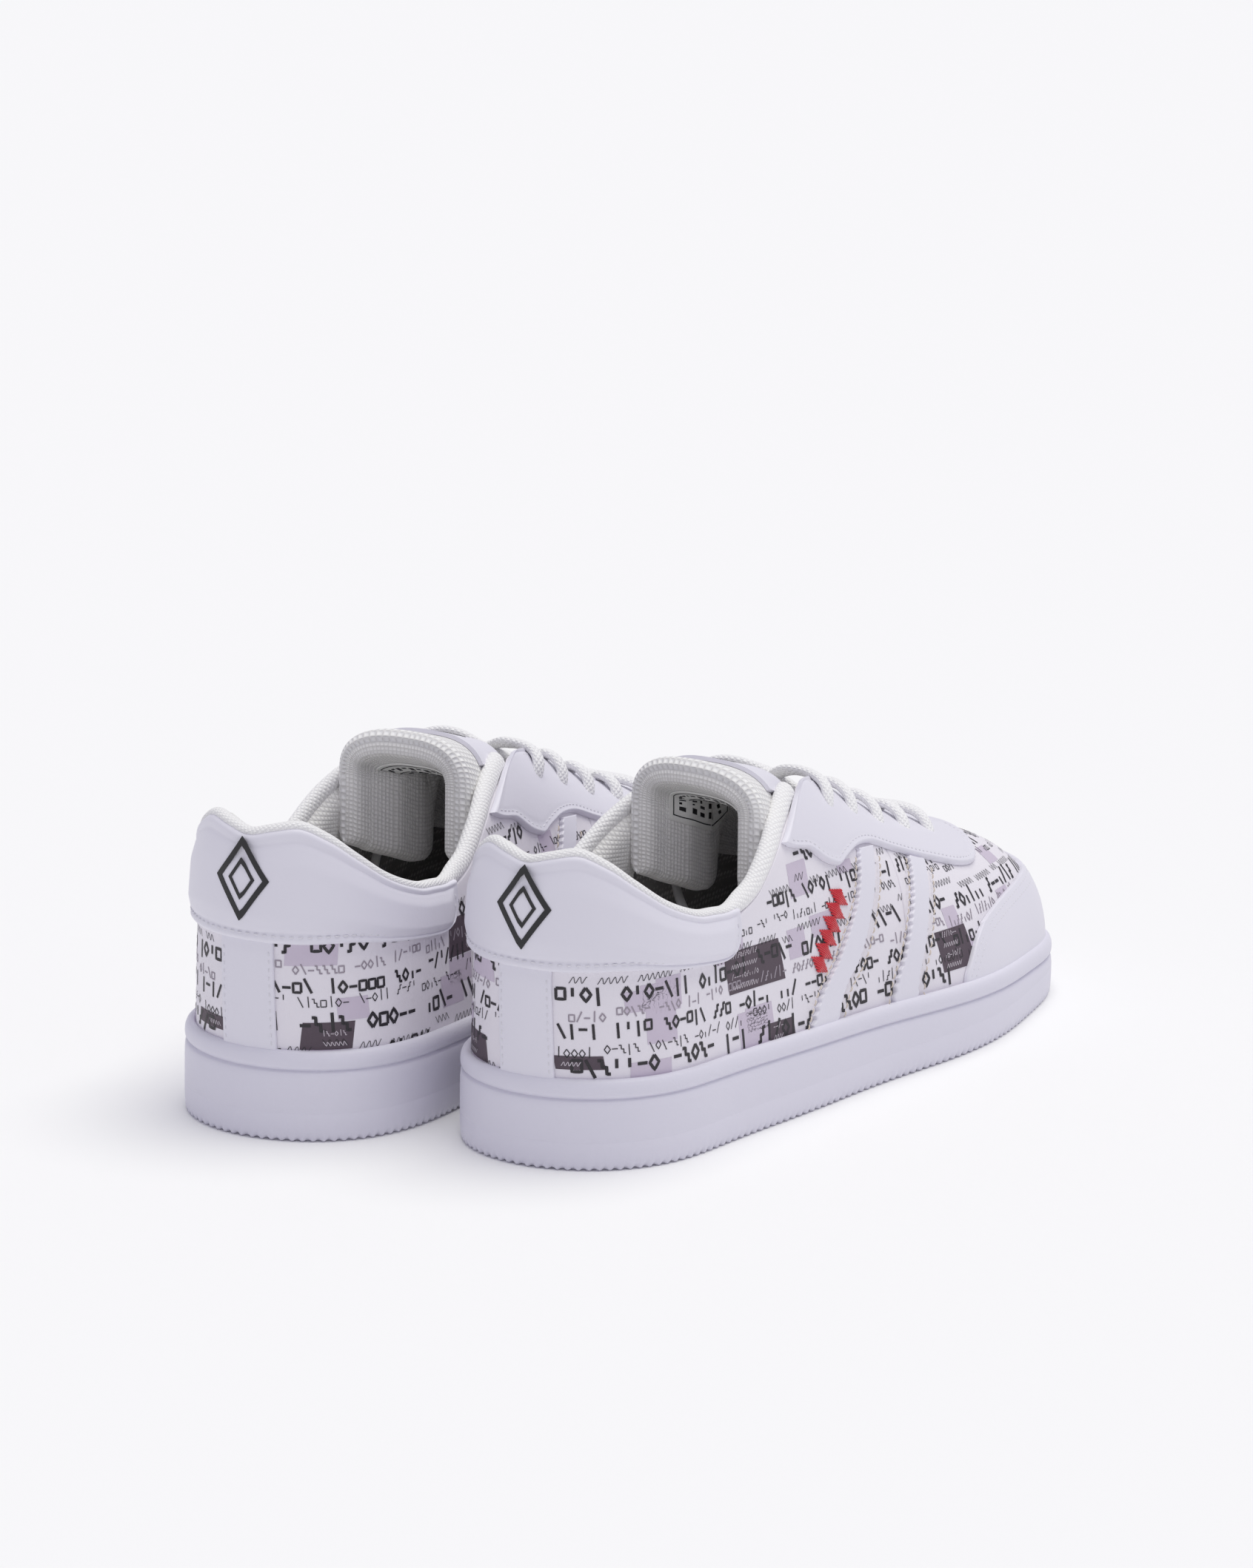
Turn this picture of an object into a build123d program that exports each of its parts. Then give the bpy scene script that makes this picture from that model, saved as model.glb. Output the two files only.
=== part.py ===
from build123d import *
import os
import numpy as np

# A pair of low lace-up trainers with cupsoles.  Millimetres throughout.
# One shoe is built heel at x = 0, toe towards +X, left side +Y, sole on z = 0, with its outer
# (lateral) side at -Y.  That is the right shoe; the left shoe is its mirror image.

# ---------------------------------------------------------------- shoe size and shape
LENGTH = 260.0
STATIONS = [0.04, 0.10, 0.20, 0.35, 0.50, 0.62, 0.72, 0.82, 0.93]
LATERAL_WIDTH = [25.4, 35.0, 38.6, 42.4, 45.6, 49.8, 49.9, 45.0, 34.6]
MEDIAL_WIDTH = [25.6, 34.6, 37.2, 35.6, 35.6, 37.6, 38.8, 37.0, 30.0]
UPPER_INSET = 3.6            # the upper stands this far inside the sole's outline
LIP_HEIGHT = 26.5            # top of the cupsole's lip at the heel
LIP_FALL = 10.7              # how much lower the lip is at the toe
LIP_GAP = 0.15               # the overlays stop this far above the lip
LIP_BAND = 5.7               # height of the lip above its groove
UPPER_ROOT = 6.0             # how far the upper reaches down inside the lip
RIDGE_X = [0, 60, 80, 95, 105, 115, 124, 137, 150, 162, 180, 197, 210, 222, 238, 250, 262]
RIDGE_Z = [138, 134, 119, 103.5, 100.5, 97, 92, 84.5, 77.5, 71.5, 64, 57.5, 53, 49.5, 44.5, 40.5, 36]
SQUARENESS_X = [0, 60, 105, 137, 200, 228, 262]
SQUARENESS_N = [3.0, 3.0, 2.6, 2.2, 2.2, 2.6, 2.7]
TOPLINE_X = [3, 8, 13, 20, 28, 38, 46, 54, 64, 74, 81, 88, 95, 103, 112]
TOPLINE_Z = [90.5, 91.5, 88.0, 81.5, 74.5, 69.8, 67.6, 66.5, 66.0, 69.0, 73.5, 78.0, 82.0, 85.8, 88.5]
PANEL_DROP = 3.2             # panels end this far below the rolled collar edge

# layers, as offsets from the outer face of the printed quarters (outwards positive)
QUARTER = (-1.2, 0.0)
COUNTER = (-2.4, -1.5)
COLLAR_FOAM = (-5.0, -2.7)
COLLAR_LINING = (-6.2, -5.3)
TOE_PUFF = (-2.0, -1.5)
VAMP_LINING = (-3.2, -2.5)
OVERLAY = (0.2, 1.4)
EYESTAY = (0.35, 1.7)
HEEL_PATCH = (0.2, 2.4)
TONGUE_DEPTH = -5.8            # outer face of the tongue, under the lining of the facings

EYELET_X = [127, 142, 158.5, 175.5, 193]
EYELET_Y = [25.0, 24.4, 23.6, 22.6, 21.6]
LACE_R = 1.3
SHOE_GAP = (-17.3, 80.4)     # the left shoe's place beside the right one


def spline(xs, ys):
    """Natural cubic spline through the points."""
    xs, ys = np.array(xs, float), np.array(ys, float)
    n, h = len(xs), np.diff(xs)
    a, b = np.zeros((n, n)), np.zeros(n)
    a[0, 0] = a[-1, -1] = 1
    for i in range(1, n - 1):
        a[i, i - 1:i + 2] = [h[i - 1], 2 * (h[i - 1] + h[i]), h[i]]
        b[i] = 6 * ((ys[i + 1] - ys[i]) / h[i] - (ys[i] - ys[i - 1]) / h[i - 1])
    m = np.linalg.solve(a, b)

    def value(x):
        i = int(np.clip(np.searchsorted(xs, x) - 1, 0, n - 2))
        d, w = x - xs[i], h[i]
        c = (ys[i + 1] - ys[i]) / w - w * (2 * m[i] + m[i + 1]) / 6
        return float(ys[i] + c * d + m[i] / 2 * d * d + (m[i + 1] - m[i]) / (6 * w) * d ** 3)
    return value


def monotone(xs, ys):
    """Smooth curve through the points that never overshoots them."""
    xs, ys = np.array(xs, float), np.array(ys, float)
    h, d = np.diff(xs), np.diff(ys) / np.diff(xs)
    m = np.concatenate([[d[0]], (d[1:] + d[:-1]) / 2, [d[-1]]])
    for i in range(len(d)):
        if i and d[i - 1] * d[i] <= 0:
            m[i] = 0
        m[i] = np.sign(d[i]) * min(abs(m[i]), 3 * abs(d[i])) if d[i] * m[i] > 0 else 0.0
        m[i + 1] = np.sign(d[i]) * min(abs(m[i + 1]), 3 * abs(d[i])) if d[i] * m[i + 1] > 0 else 0.0

    def value(x):
        i = int(np.clip(np.searchsorted(xs, x) - 1, 0, len(h) - 1))
        t, w = (x - xs[i]) / h[i], h[i]
        return float(ys[i] * (1 + 2 * t) * (1 - t) ** 2 + ys[i + 1] * t * t * (3 - 2 * t)
                     + m[i] * w * t * (1 - t) ** 2 - m[i + 1] * w * t * t * (1 - t))
    return value


def half_outline(widths, inset, count=241):
    """Half of the sole's plan outline from heel to toe, moved inwards by the inset (y > 0)."""
    side = [(f * LENGTH, w) for f, w in zip(STATIONS, widths)]
    mirror = [(x, -y) for x, y in side[::-1]]
    full = np.array(mirror[-3:] + [(0, 0)] + side + [(LENGTH, 0)] + mirror[:3])
    t = np.concatenate([[0], np.cumsum(np.linalg.norm(np.diff(full, axis=0), axis=1))])
    fx, fy = spline(t, full[:, 0]), spline(t, full[:, 1])
    out = []
    for s in np.linspace(t[3], t[-4], count):
        dx, dy = fx(s + 0.05) - fx(s - 0.05), fy(s + 0.05) - fy(s - 0.05)
        run = (dx * dx + dy * dy) ** 0.5
        out.append((fx(s) + dy / run * inset, fy(s) - dx / run * inset))
    out = np.array(out)
    out[0, 1] = out[-1, 1] = 0
    return out


def lip_top(x):
    return LIP_HEIGHT - LIP_FALL * (min(max(x, 0), LENGTH) / LENGTH) ** 1.5


def upper_base(x):
    return lip_top(x) - UPPER_ROOT


ridge = spline(RIDGE_X, RIDGE_Z)
squareness = spline(SQUARENESS_X, SQUARENESS_N)
topline = spline(TOPLINE_X, TOPLINE_Z)


class HalfLast:
    """One side of the upper's outer surface: arc length along its base, and an angle up it."""

    def __init__(self, widths, sign):
        base = half_outline(widths, UPPER_INSET)
        self.sign, self.base = sign, base
        self.arc = np.concatenate([[0], np.cumsum(np.linalg.norm(np.diff(base, axis=0), axis=1))])
        self.length = float(self.arc[-1])
        self.bx, self.by = spline(self.arc[::6], base[::6, 0]), spline(self.arc[::6], base[::6, 1])

    def arc_at(self, x):
        """Arc length where the base passes x (used between the rounded ends)."""
        return float(np.interp(x, self.base[:, 0], self.arc))

    def point(self, a, angle):
        bx, by = self.bx(a), self.by(a)
        spine = 36 + 6 * np.log1p(np.exp((bx - 36) / 6))
        spine = 228 - 6 * np.log1p(np.exp((228 - spine) / 6))
        n = squareness(bx)
        c, s = np.cos(angle), np.sin(angle)
        r = (abs(c) ** n + abs(s) ** n) ** (1 / n)
        c, s = c / r, s / r
        x, y = spine + (bx - spine) * c, by * c
        z = upper_base(bx) + (ridge(x) - upper_base(bx)) * s
        lean = 0.4 + 0.6 * min(max((x - 15) / 45, 0), 1)
        front = min(max((x - 105) / 45, 0), 1)
        lean *= 1 - front * front * (3 - 2 * front)
        y *= 1 - 0.0023 * max(z - 25, 0) * lean
        x -= max(1 - bx / 45, 0) ** 2 * 3.2 * min(max((z - 20) / 35, 0), 1) ** 0.8
        return np.array([x, self.sign * y, z])


LATERAL = HalfLast(LATERAL_WIDTH, -1)
MEDIAL = HalfLast(MEDIAL_WIDTH, 1)


def surface(arc, angle):
    """Outer surface all the way round: positive arc runs from the heel along the lateral side
    to the toe and on round to the medial side; negative arc starts along the medial side."""
    if arc < 0:
        return MEDIAL.point(-arc, angle)
    if arc > LATERAL.length:
        return MEDIAL.point(MEDIAL.length - (arc - LATERAL.length), angle)
    return LATERAL.point(arc, angle)


def layer_point(arc, angle, offset):
    """Point on the layer at an offset along the outward normal."""
    e, top = 0.4, np.pi / 2 - 0.02
    mid = min(max(angle, 0.01), top)
    da = surface(arc + e, mid) - surface(arc - e, mid)
    dv = surface(arc, min(mid + 0.01, np.pi / 2)) - surface(arc, mid - 0.01)
    n = np.cross(da, dv)
    n = n / np.linalg.norm(n)
    if n[2] < -0.5:
        n = -n
    p = surface(arc, angle)
    if abs(angle - np.pi / 2) < 1e-6:
        n[1] = 0.0
        n = n / np.linalg.norm(n)
    outward = np.array([p[0] - min(max(p[0], 40), 225), p[1], 12.0])
    return p + n * offset * (1 if np.dot(n, outward) >= 0 else -1)


def angle_for_height(arc, z):
    low, high = 0.0, np.pi / 2
    for _ in range(34):
        mid = (low + high) / 2
        low, high = (mid, high) if surface(arc, mid)[2] < z else (low, mid)
    return (low + high) / 2


def angle_for_width(arc, width):
    low, high = 0.0, np.pi / 2
    for _ in range(34):
        mid = (low + high) / 2
        low, high = (mid, high) if abs(surface(arc, mid)[1]) > width else (low, mid)
    return (low + high) / 2


def side_arc(half, x):
    return half.arc_at(x) * (1 if half is LATERAL else -1)


def at(half, x, z):
    """Place on a side, given its x and height."""
    arc = side_arc(half, x)
    return arc, angle_for_height(arc, z)


def across(half, x, width):
    """Place near the ridge, given its x and distance from the centre plane on the lateral
    side; the narrower medial side takes the same share of its own width."""
    arc = side_arc(half, x)
    share = half.by(abs(arc)) / LATERAL.by(side_arc(LATERAL, x))
    return arc, angle_for_width(arc, width * share)


def heel_at(arc, z):
    return arc, angle_for_height(arc, z)


def along(points, f):
    """Point at a fraction of the way along a polyline in (arc, angle), smoothed."""
    if len(points) == 2:
        return points[0] * (1 - f) + points[1] * f
    run = np.concatenate([[0], np.cumsum(np.linalg.norm(np.diff(points * [1, 60], axis=0), axis=1))])
    t = f * run[-1]
    return np.array([monotone(run, points[:, 0])(t), monotone(run, points[:, 1])(t)])


def patch_rows(low, high, start, end, offset, nu, nv):
    """Grid of points over a four-edged patch, on one layer; rows run from low to high."""
    low, high, start, end = (np.array(e, float) for e in (low, high, start, end))
    rows = []
    for i in range(nu):
        f = i / (nu - 1)
        bottom, top = along(low, f), along(high, f)
        row = []
        for j in range(nv):
            g = j / (nv - 1)
            place = bottom * (1 - g) + top * g
            place = place + (1 - f) * (along(start, g) - (low[0] * (1 - g) + high[0] * g))
            place = place + f * (along(end, g) - (low[-1] * (1 - g) + high[-1] * g))
            row.append(Vector(*layer_point(place[0], place[1], offset)))
        rows.append(row)
    return rows


def face_through(rows):
    return Face.make_surface_from_array_of_points(rows, tol=0.02)


def thick(inner, outer):
    """Solid between two matching faces."""
    faces = [inner, outer]
    spare = list(inner.edges())
    for edge in outer.edges():
        def miss(other):
            same = (other @ 0 - edge @ 0).length + (other @ 1 - edge @ 1).length
            turned = (other @ 1 - edge @ 0).length + (other @ 0 - edge @ 1).length
            return min(same, turned)
        twin = min(spare, key=miss)
        spare.remove(twin)
        if (twin @ 0 - edge @ 0).length > (twin @ 1 - edge @ 0).length:
            twin = twin.reversed()
        faces.append(Face.make_surface_from_curves(edge, twin))
    solid = Solid(Shell(faces))
    if solid.volume < 0:
        solid = Solid(Shell([f.reversed() if hasattr(f, "reversed") else f for f in faces]))
    return solid


def patch(low, high, layer, nu=11, nv=7, start=None, end=None):
    """Thick panel over a four-edged patch: low and high edges run the same way."""
    start = start if start is not None else [low[0], high[0]]
    end = end if end is not None else [low[-1], high[-1]]
    return thick(*[face_through(patch_rows(low, high, start, end, offset, nu, nv))
                   for offset in layer])


# ---------------------------------------------------------------- sole unit
def plan_face(inset):
    """Plan of the whole sole, inset from its outline."""
    lateral = half_outline(LATERAL_WIDTH, inset)[::15]
    medial = half_outline(MEDIAL_WIDTH, inset)[::15]
    ring = [(x, -y) for x, y in lateral] + [(x, y) for x, y in medial[::-1][1:-1]]
    return make_face(Spline(*[Vector(x, y) for x, y in ring], periodic=True))


def band(inset, low, high):
    """Slab of the sole's plan between two height curves given as functions of x."""
    slab = extrude(plan_face(inset), 60)
    xs = np.linspace(-10, LENGTH + 10, 8)
    lower = Spline(*[Vector(x, 0, low(x)) for x in xs])
    upper = Spline(*[Vector(x, 0, high(x)) for x in xs])
    ends = [Line(lower @ 0, upper @ 0), Line(lower @ 1, upper @ 1)]
    profile = extrude(make_face([lower, upper] + ends), 120, both=True)
    return slab & profile


def level(z):
    return lambda x: z


def groove(x):
    return lip_top(x) - LIP_BAND


def tread():
    """Bottom layer of the outsole, crossed by shallow slots."""
    slots = [Pos(x, 0, 0) * Box(3.0, 140, 1.6) for x in np.arange(14, LENGTH - 8, 12)]
    return extrude(plan_face(2.0), 1.6) - Compound(slots)


def cupsole():
    """Tread, wall, groove and rounded lip, hollowed to a cup."""
    body = band(0.4, level(1.6), lambda x: groove(x) - 0.5)
    body += band(1.6, lambda x: groove(x) - 0.5, lambda x: groove(x) + 0.4)
    body += band(0.6, lambda x: groove(x) + 0.4, lambda x: lip_top(x) - 1.8)
    body += band(1.9, lambda x: lip_top(x) - 1.8, lip_top)
    body -= band(3.2, level(5.0), lambda x: 45.0)
    return body + tread()


def inner_sole(low, high, inset=3.7):
    return band(inset, low, high)


# ---------------------------------------------------------------- upper
def collar_edge(xs_lateral, drop, half):
    return [at(half, x, topline(x) - drop) for x in xs_lateral]


HEEL_ARCS = [0, 8, 15, 24, 33]
HEEL_TOPS = [88.8, 90.4, 91.5, 88.0, 81.5]


def heel_top(drop):
    """Collar edge round the heel, from the medial to the lateral side."""
    right = [heel_at(a, z - drop) for a, z in zip(HEEL_ARCS, HEEL_TOPS)]
    left = [heel_at(-a, z - drop) for a, z in zip(HEEL_ARCS[1:], HEEL_TOPS[1:])]
    return left[::-1] + right


def full_top(drop, x_end):
    """Collar edge from the medial front corner round the heel to the lateral one."""
    xs = [x for x in TOPLINE_X[4:] if x <= x_end]
    if xs[-1] < x_end:
        xs.append(x_end)
    lateral = [at(LATERAL, x, topline(x) - drop) for x in xs]
    medial = [at(MEDIAL, x, topline(x) - drop) for x in xs]
    return medial[::-1] + heel_top(drop) + lateral


def matching_low(top, height):
    """Lower edge with the same arcs as a top edge, at a height given by the arc."""
    return [(arc, angle_for_height(arc, height(arc))) for arc, _ in top]


def root_height(arc):
    return upper_base(surface(arc, 0.0)[0]) + 0.15


def lip_height(arc):
    """Height at which an overlay stops, just above the lip of the sole."""
    return lip_top(surface(arc, 0.0)[0]) + LIP_GAP


def wrap(layer, x_end, drop, low_height, nu=33, nv=7):
    top = full_top(drop, x_end)
    return patch(matching_low(top, low_height), top, layer, nu, nv)


SEAM_TOP, SEAM_FOOT = 150, 140       # quarter-to-vamp seam, hidden under the front stripe
THROAT_END = 196
THROAT_HALF = 10.0


def throat_half(x):
    """Half width of the throat, which opens towards the collar."""
    return THROAT_HALF + 9.0 * (max(150.0 - x, 0.0) / 30.0) ** 1.2


def quarter(half):
    """Printed side panel from the heel to the seam, its top edge following the collar and
    the throat."""
    sign = 1 if half is LATERAL else -1
    heel = [(sign * (a + 0.25 if a == 0 else a), angle_for_height(sign * (a + 0.25), z - PANEL_DROP))
            for a, z in zip(HEEL_ARCS, HEEL_TOPS)]
    side = [at(half, x, topline(x) - PANEL_DROP) for x in TOPLINE_X[4:-1]]
    side.append(at(half, 110, topline(110) - PANEL_DROP - 0.4))
    throat = [across(half, x, throat_half(x) + 0.6) for x in (117, 124, 136)]
    throat.append(across(half, SEAM_TOP, THROAT_HALF))
    top = heel + side + throat
    foot = at(half, SEAM_FOOT, upper_base(SEAM_FOOT) + 0.15)
    low = [(sign * a, angle_for_height(sign * a, root_height(sign * a)))
           for a in np.linspace(0.25, abs(foot[0]), len(top))]
    seam = [foot, at(half, 145, 44), at(half, SEAM_TOP, 62), top[-1]]
    return patch(low, top, QUARTER, 37, 9, end=seam)


def toe_line(half, angles, xs):
    """Centre line from the toe's tip up over the toe and back along the ridge."""
    tip = half.length if half is LATERAL else -half.length
    return [(tip, v) for v in angles] + [(side_arc(half, x), np.pi / 2) for x in xs]


def wrap_over(layer, edges_of, nu=25, nv=11):
    """Panel over the forepart in one piece; edges_of gives one half's low edge, inner edge,
    rear edge and centre line."""
    faces = []
    for offset in layer:
        halves = [patch_rows(*edges_of(half), offset, nu, nv) for half in (LATERAL, MEDIAL)]
        middle = [Vector(p.X, 0, p.Z) for p in halves[0][-1]]
        faces.append(face_through(halves[0][:-1] + [middle] + halves[1][::-1][1:]))
    return thick(*faces)


def forepart(layer, seam_of, throat_of):
    """Panel that wraps the whole forepart down to the sole, leaving the throat open."""
    def edges(half):
        seam, throat = seam_of(half), throat_of(half)
        tip = half.length if half is LATERAL else -half.length
        low = [(a, angle_for_height(a, root_height(a))) for a in np.linspace(seam[0][0], tip, 15)]
        centre = toe_line(half, (low[-1][1], 0.8, 1.3, np.pi / 2), (236, 222, 208, THROAT_END))
        return low, throat, seam, centre
    return wrap_over(layer, edges, 29, 15)


FACING_EDGE = [(92, 77.0), (104, 72.6), (112.5, 67.0), (117.5, 64.8), (123, 65.8), (132, 67.0),
               (141, 65.6), (150, 62.0), (162, 57.4), (176, 52.5), (190, 48.0), (201, 46.2),
               (209, 47.2)]


def throat_edge(half, xs):
    return [across(half, x, throat_half(x)) for x in xs] + [
        across(half, 184, THROAT_HALF - 0.6), across(half, 191, THROAT_HALF - 3.0),
        (side_arc(half, THROAT_END), np.pi / 2)]


def vamp():
    gap = 0.3

    def seam(half):
        return [at(half, SEAM_FOOT + gap, root_height(side_arc(half, SEAM_FOOT))),
                at(half, 145 + gap, 44), at(half, SEAM_TOP + gap, 62),
                across(half, SEAM_TOP + gap, THROAT_HALF)]
    return forepart(QUARTER, seam, lambda half: throat_edge(half, (SEAM_TOP + gap, 165, 176)))


def forepart_lining():
    """Thin lining of the forepart and the facings, ahead of the padded collar."""
    def seam(half):
        return [at(half, 104, root_height(side_arc(half, 104))), at(half, 104, 50), at(half, 104, 80)]

    def top(half):
        return [at(half, 104, 80)] + [across(half, x, throat_half(x) + 1.5) for x in (119, 128)] \
            + throat_edge(half, (140, 160, 174))
    return forepart(VAMP_LINING, seam, top)


def toe_band(layer, x_foot, foot_height, heights, nu=27, nv=7):
    """Panel round the toe from one side to the other; heights are its top edge."""
    def upper_edge(half):
        return [at(half, x, z) for x, z in heights]
    lateral, medial = upper_edge(LATERAL), upper_edge(MEDIAL)
    wrap_arc = LATERAL.length + MEDIAL.length
    medial = [(wrap_arc + a, v) for a, v in medial]
    tip = (LATERAL.length, angle_for_height(LATERAL.length, heights[-1][1] + 0.6))
    top = lateral + [tip] + medial[::-1]
    foot = side_arc(LATERAL, x_foot), wrap_arc + side_arc(MEDIAL, x_foot)
    low = [(a, angle_for_height(a, foot_height(a))) for a in np.linspace(foot[0], foot[1], len(top))]
    return patch(low, top, layer, nu, nv)


def lace_facing():
    """U-shaped facing that carries the lace holes, with a scalloped lower edge."""
    def edges(half):
        throat = [at(half, 113, 87.0)] + throat_edge(half, (121, 134, 150, 166, 177))
        low = [at(half, x, z) for x, z in FACING_EDGE]
        low += [across(half, 216, 18), across(half, 221, 9), (side_arc(half, 222.5), np.pi / 2)]
        centre = [low[-1], (side_arc(half, 210), np.pi / 2), throat[-1]]
        return low, throat, [low[0], throat[0]], centre
    return wrap_over(EYESTAY, edges, 35, 7)


STRIPES = [([(90, 0), (98.5, 31.7), (109.5, 40.6), (122.5, 53.8), (131.5, 66.4)],
            [(104, 0), (111, 31.0), (119.8, 38.1), (130.8, 52.4), (140.8, 65.0)]),
           ([(131.5, 0), (135, 27.0), (139.5, 33.5), (147.7, 45.3), (160, 57.6)],
            [(144.5, 0), (147, 28.4), (150, 33.5), (156, 42.5), (169, 54.4)])]


def stripe(half, edges):
    """One raised side stripe from the sole up to the lace facing."""
    low, high = [[at(half, x, z or lip_top(x) + LIP_GAP) for x, z in edge] for edge in edges]
    return patch(low, high, OVERLAY, 17, 7)


def heel_patch():
    top = full_top(PANEL_DROP, 62)
    def height(arc):
        x = surface(arc, 0.3)[0]
        return 57.0 - 6.0 * min(max(x, 0) / 58, 1) ** 1.5
    return patch(matching_low(top, height), top, HEEL_PATCH, 33, 7)


def back_stay():
    arcs = np.linspace(-8.7, 8.7, 7)
    low = [(a, angle_for_height(a, lip_height(a))) for a in arcs]
    top = [heel_at(a, 56.4) for a in arcs]
    return patch(low, top, (0.1, 1.1), 9, 9)


def diamond(arc, z, half_width, half_height, bar, layer):
    """Outline diamond as four flat bars meeting at mitres."""
    def corners(w, h):
        return [(arc, z + h), (arc + w, z), (arc, z - h), (arc - w, z)]
    outer = [heel_at(*c) for c in corners(half_width, half_height)]
    inner = [heel_at(*c) for c in corners(half_width - bar * 1.2, half_height - bar * 1.6)]
    bars = []
    for i in range(4):
        k = (i + 1) % 4
        bars.append(patch([outer[i], outer[k]], [inner[i], inner[k]], layer, 5, 3))
    return Compound(bars)


def side_mark():
    """Row of small raised diamonds slanting up the lateral side."""
    marks = []
    for i in range(6):
        f = i / 5
        x, z = 101.5 + 13.0 * f, 41.5 + 14.5 * f
        left, top = at(LATERAL, x - 1.5, z), at(LATERAL, x + 0.3, z + 1.9)
        right, foot = at(LATERAL, x + 1.5, z), at(LATERAL, x - 0.3, z - 1.9)
        marks.append(patch([foot, right], [left, top], (0.1, 0.7), 3, 3))
    return Compound(marks)


# ---------------------------------------------------------------- tongue
BEND_X = 118.0                # the free top of the tongue bends here, behind the top lace
HOOD_X = [86, 89, 95, 103, 112, 120, 130]
HOOD_TOP = [98.9, 98.4, 96.4, 93.8, 90.7, 88.0, 84.4]
HOOD_FOOT = [62.5, 62.0, 59.5, 56.3, 52.6, 50.0, 48.0]
HOOD_LATERAL = [25.2, 25.0, 24.0, 21.0, 18.4, 17.5, 17.0]
HOOD_MEDIAL = [18.9, 18.8, 18.2, 16.2, 14.6, 14.0, 13.5]
FOLLOW_X = (114.0, 130.0)     # over this stretch the tongue settles onto the foot
FLAP_SHARE, WING_SHARE = 0.54, 0.66


def hood(x, v):
    """Free top of the tongue: straight sides and an arched roof.  v runs from -1 at the
    medial foot over 0 on the centre line to 1 at the lateral foot."""
    side = HOOD_LATERAL if v > 0 else HOOD_MEDIAL
    half, top, foot = (float(np.interp(x, HOOD_X, values)) for values in (side, HOOD_TOP, HOOD_FOOT))
    rise = 0.36 * float(np.interp(x, HOOD_X, HOOD_LATERAL) + np.interp(x, HOOD_X, HOOD_MEDIAL))
    straight, arch = top - rise - foot, 0.86 * (half + rise)
    t = (1 - abs(v)) * (straight + arch)
    up = min(t / straight, 1.0)
    u = min(max((t - straight) / arch, 0.0), 1.0)
    turn = np.pi / 2 * u ** 1.3 / (u ** 1.3 + (1 - u) ** 1.3)
    y = half * np.cos(turn) ** 0.77
    return np.array([x, -y if v > 0 else y, foot + straight * up + rise * np.sin(turn) ** 0.77])


def base_edge(x):
    return 64.0 - 16.0 * max((x - BEND_X) / 74, 0) ** 0.9


def settled(x, v):
    """Tongue lying under the lace facings, following the foot."""
    half = LATERAL if v > 0 else MEDIAL
    arc, low = at(half, x, base_edge(x))
    return np.array(layer_point(arc, low + (np.pi / 2 - low) * (1 - abs(v)), TONGUE_DEPTH))


def tongue_surface(x, v):
    share = min(max((x - FOLLOW_X[0]) / (FOLLOW_X[1] - FOLLOW_X[0]), 0.0), 1.0)
    share = share * share * (3 - 2 * share)
    if share == 0:
        return hood(x, v)
    low = settled(x, v)
    return low if share == 1 else hood(x, v) * (1 - share) + low * share


def tongue_point(x, v, depth, tapers):
    """Point at a depth below the tongue's outer surface; the hood's padding thins forward."""
    point = tongue_surface(x, v)
    if abs(depth) > 1e-9:
        ends = max(v - 0.02, -1.0), min(v + 0.02, 1.0)
        round_it = tongue_surface(x, ends[1]) - tongue_surface(x, ends[0])
        along_it = tongue_surface(x + 0.6, v) - tongue_surface(x - 0.6, v)
        normal = np.cross(round_it, along_it)
        normal[1] = 0.0 if abs(v) < 1e-9 else normal[1]
        normal /= np.linalg.norm(normal)
        thin = 1 - 0.42 * min(max((x - 95) / 18, 0.0), 1.0) if tapers else 1.0
        point = point + normal * depth * thin
    return Vector(*point)


def tongue_sheet(depths, x0, x1, v0, v1, nu=11, nv=15, tapers=True):
    """Layer of the tongue between two distances along it and two shares across it."""
    faces = []
    for depth in depths:
        faces.append(face_through([[tongue_point(x, v, depth, tapers) for v in np.linspace(v0, v1, nv)]
                                   for x in np.linspace(x0, x1, nu)]))
    return thick(*faces)


def tongue_base():
    """Sewn-in part of the tongue under the laces, with a wing down each side of the flap."""
    base = tongue_sheet((-4.6, 0.0), BEND_X + 1.8, 192, -1, 1, 13, 17, tapers=False)
    for side in (-1, 1):
        base += tongue_sheet((-7.2, -0.4), 89.5, BEND_X + 5.0, side * 0.98, side * WING_SHARE, 9, 6)
    return base


def flap(depths, x0=89.5, x1=BEND_X, share=FLAP_SHARE):
    return tongue_sheet(depths, x0, x1, -share, share)


def tongue_patch():
    """Smooth facing on the front of the flap."""
    return flap((0.1, 0.9), 101, BEND_X - 1.5, 0.3)


def tongue_label():
    """Blank woven label sewn to the inner face of the flap."""
    return flap((-8.7, -8.1), 96, 110, 0.2)


# ---------------------------------------------------------------- lace
OVER, UNDER = 3.0, -4.3


def lace_spot(half, x, width, offset):
    arc, angle = across(half, x, width)
    return layer_point(arc, angle, offset)


def eyelet(i, half, offset):
    return lace_spot(half, EYELET_X[i], EYELET_Y[i], offset)


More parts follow.
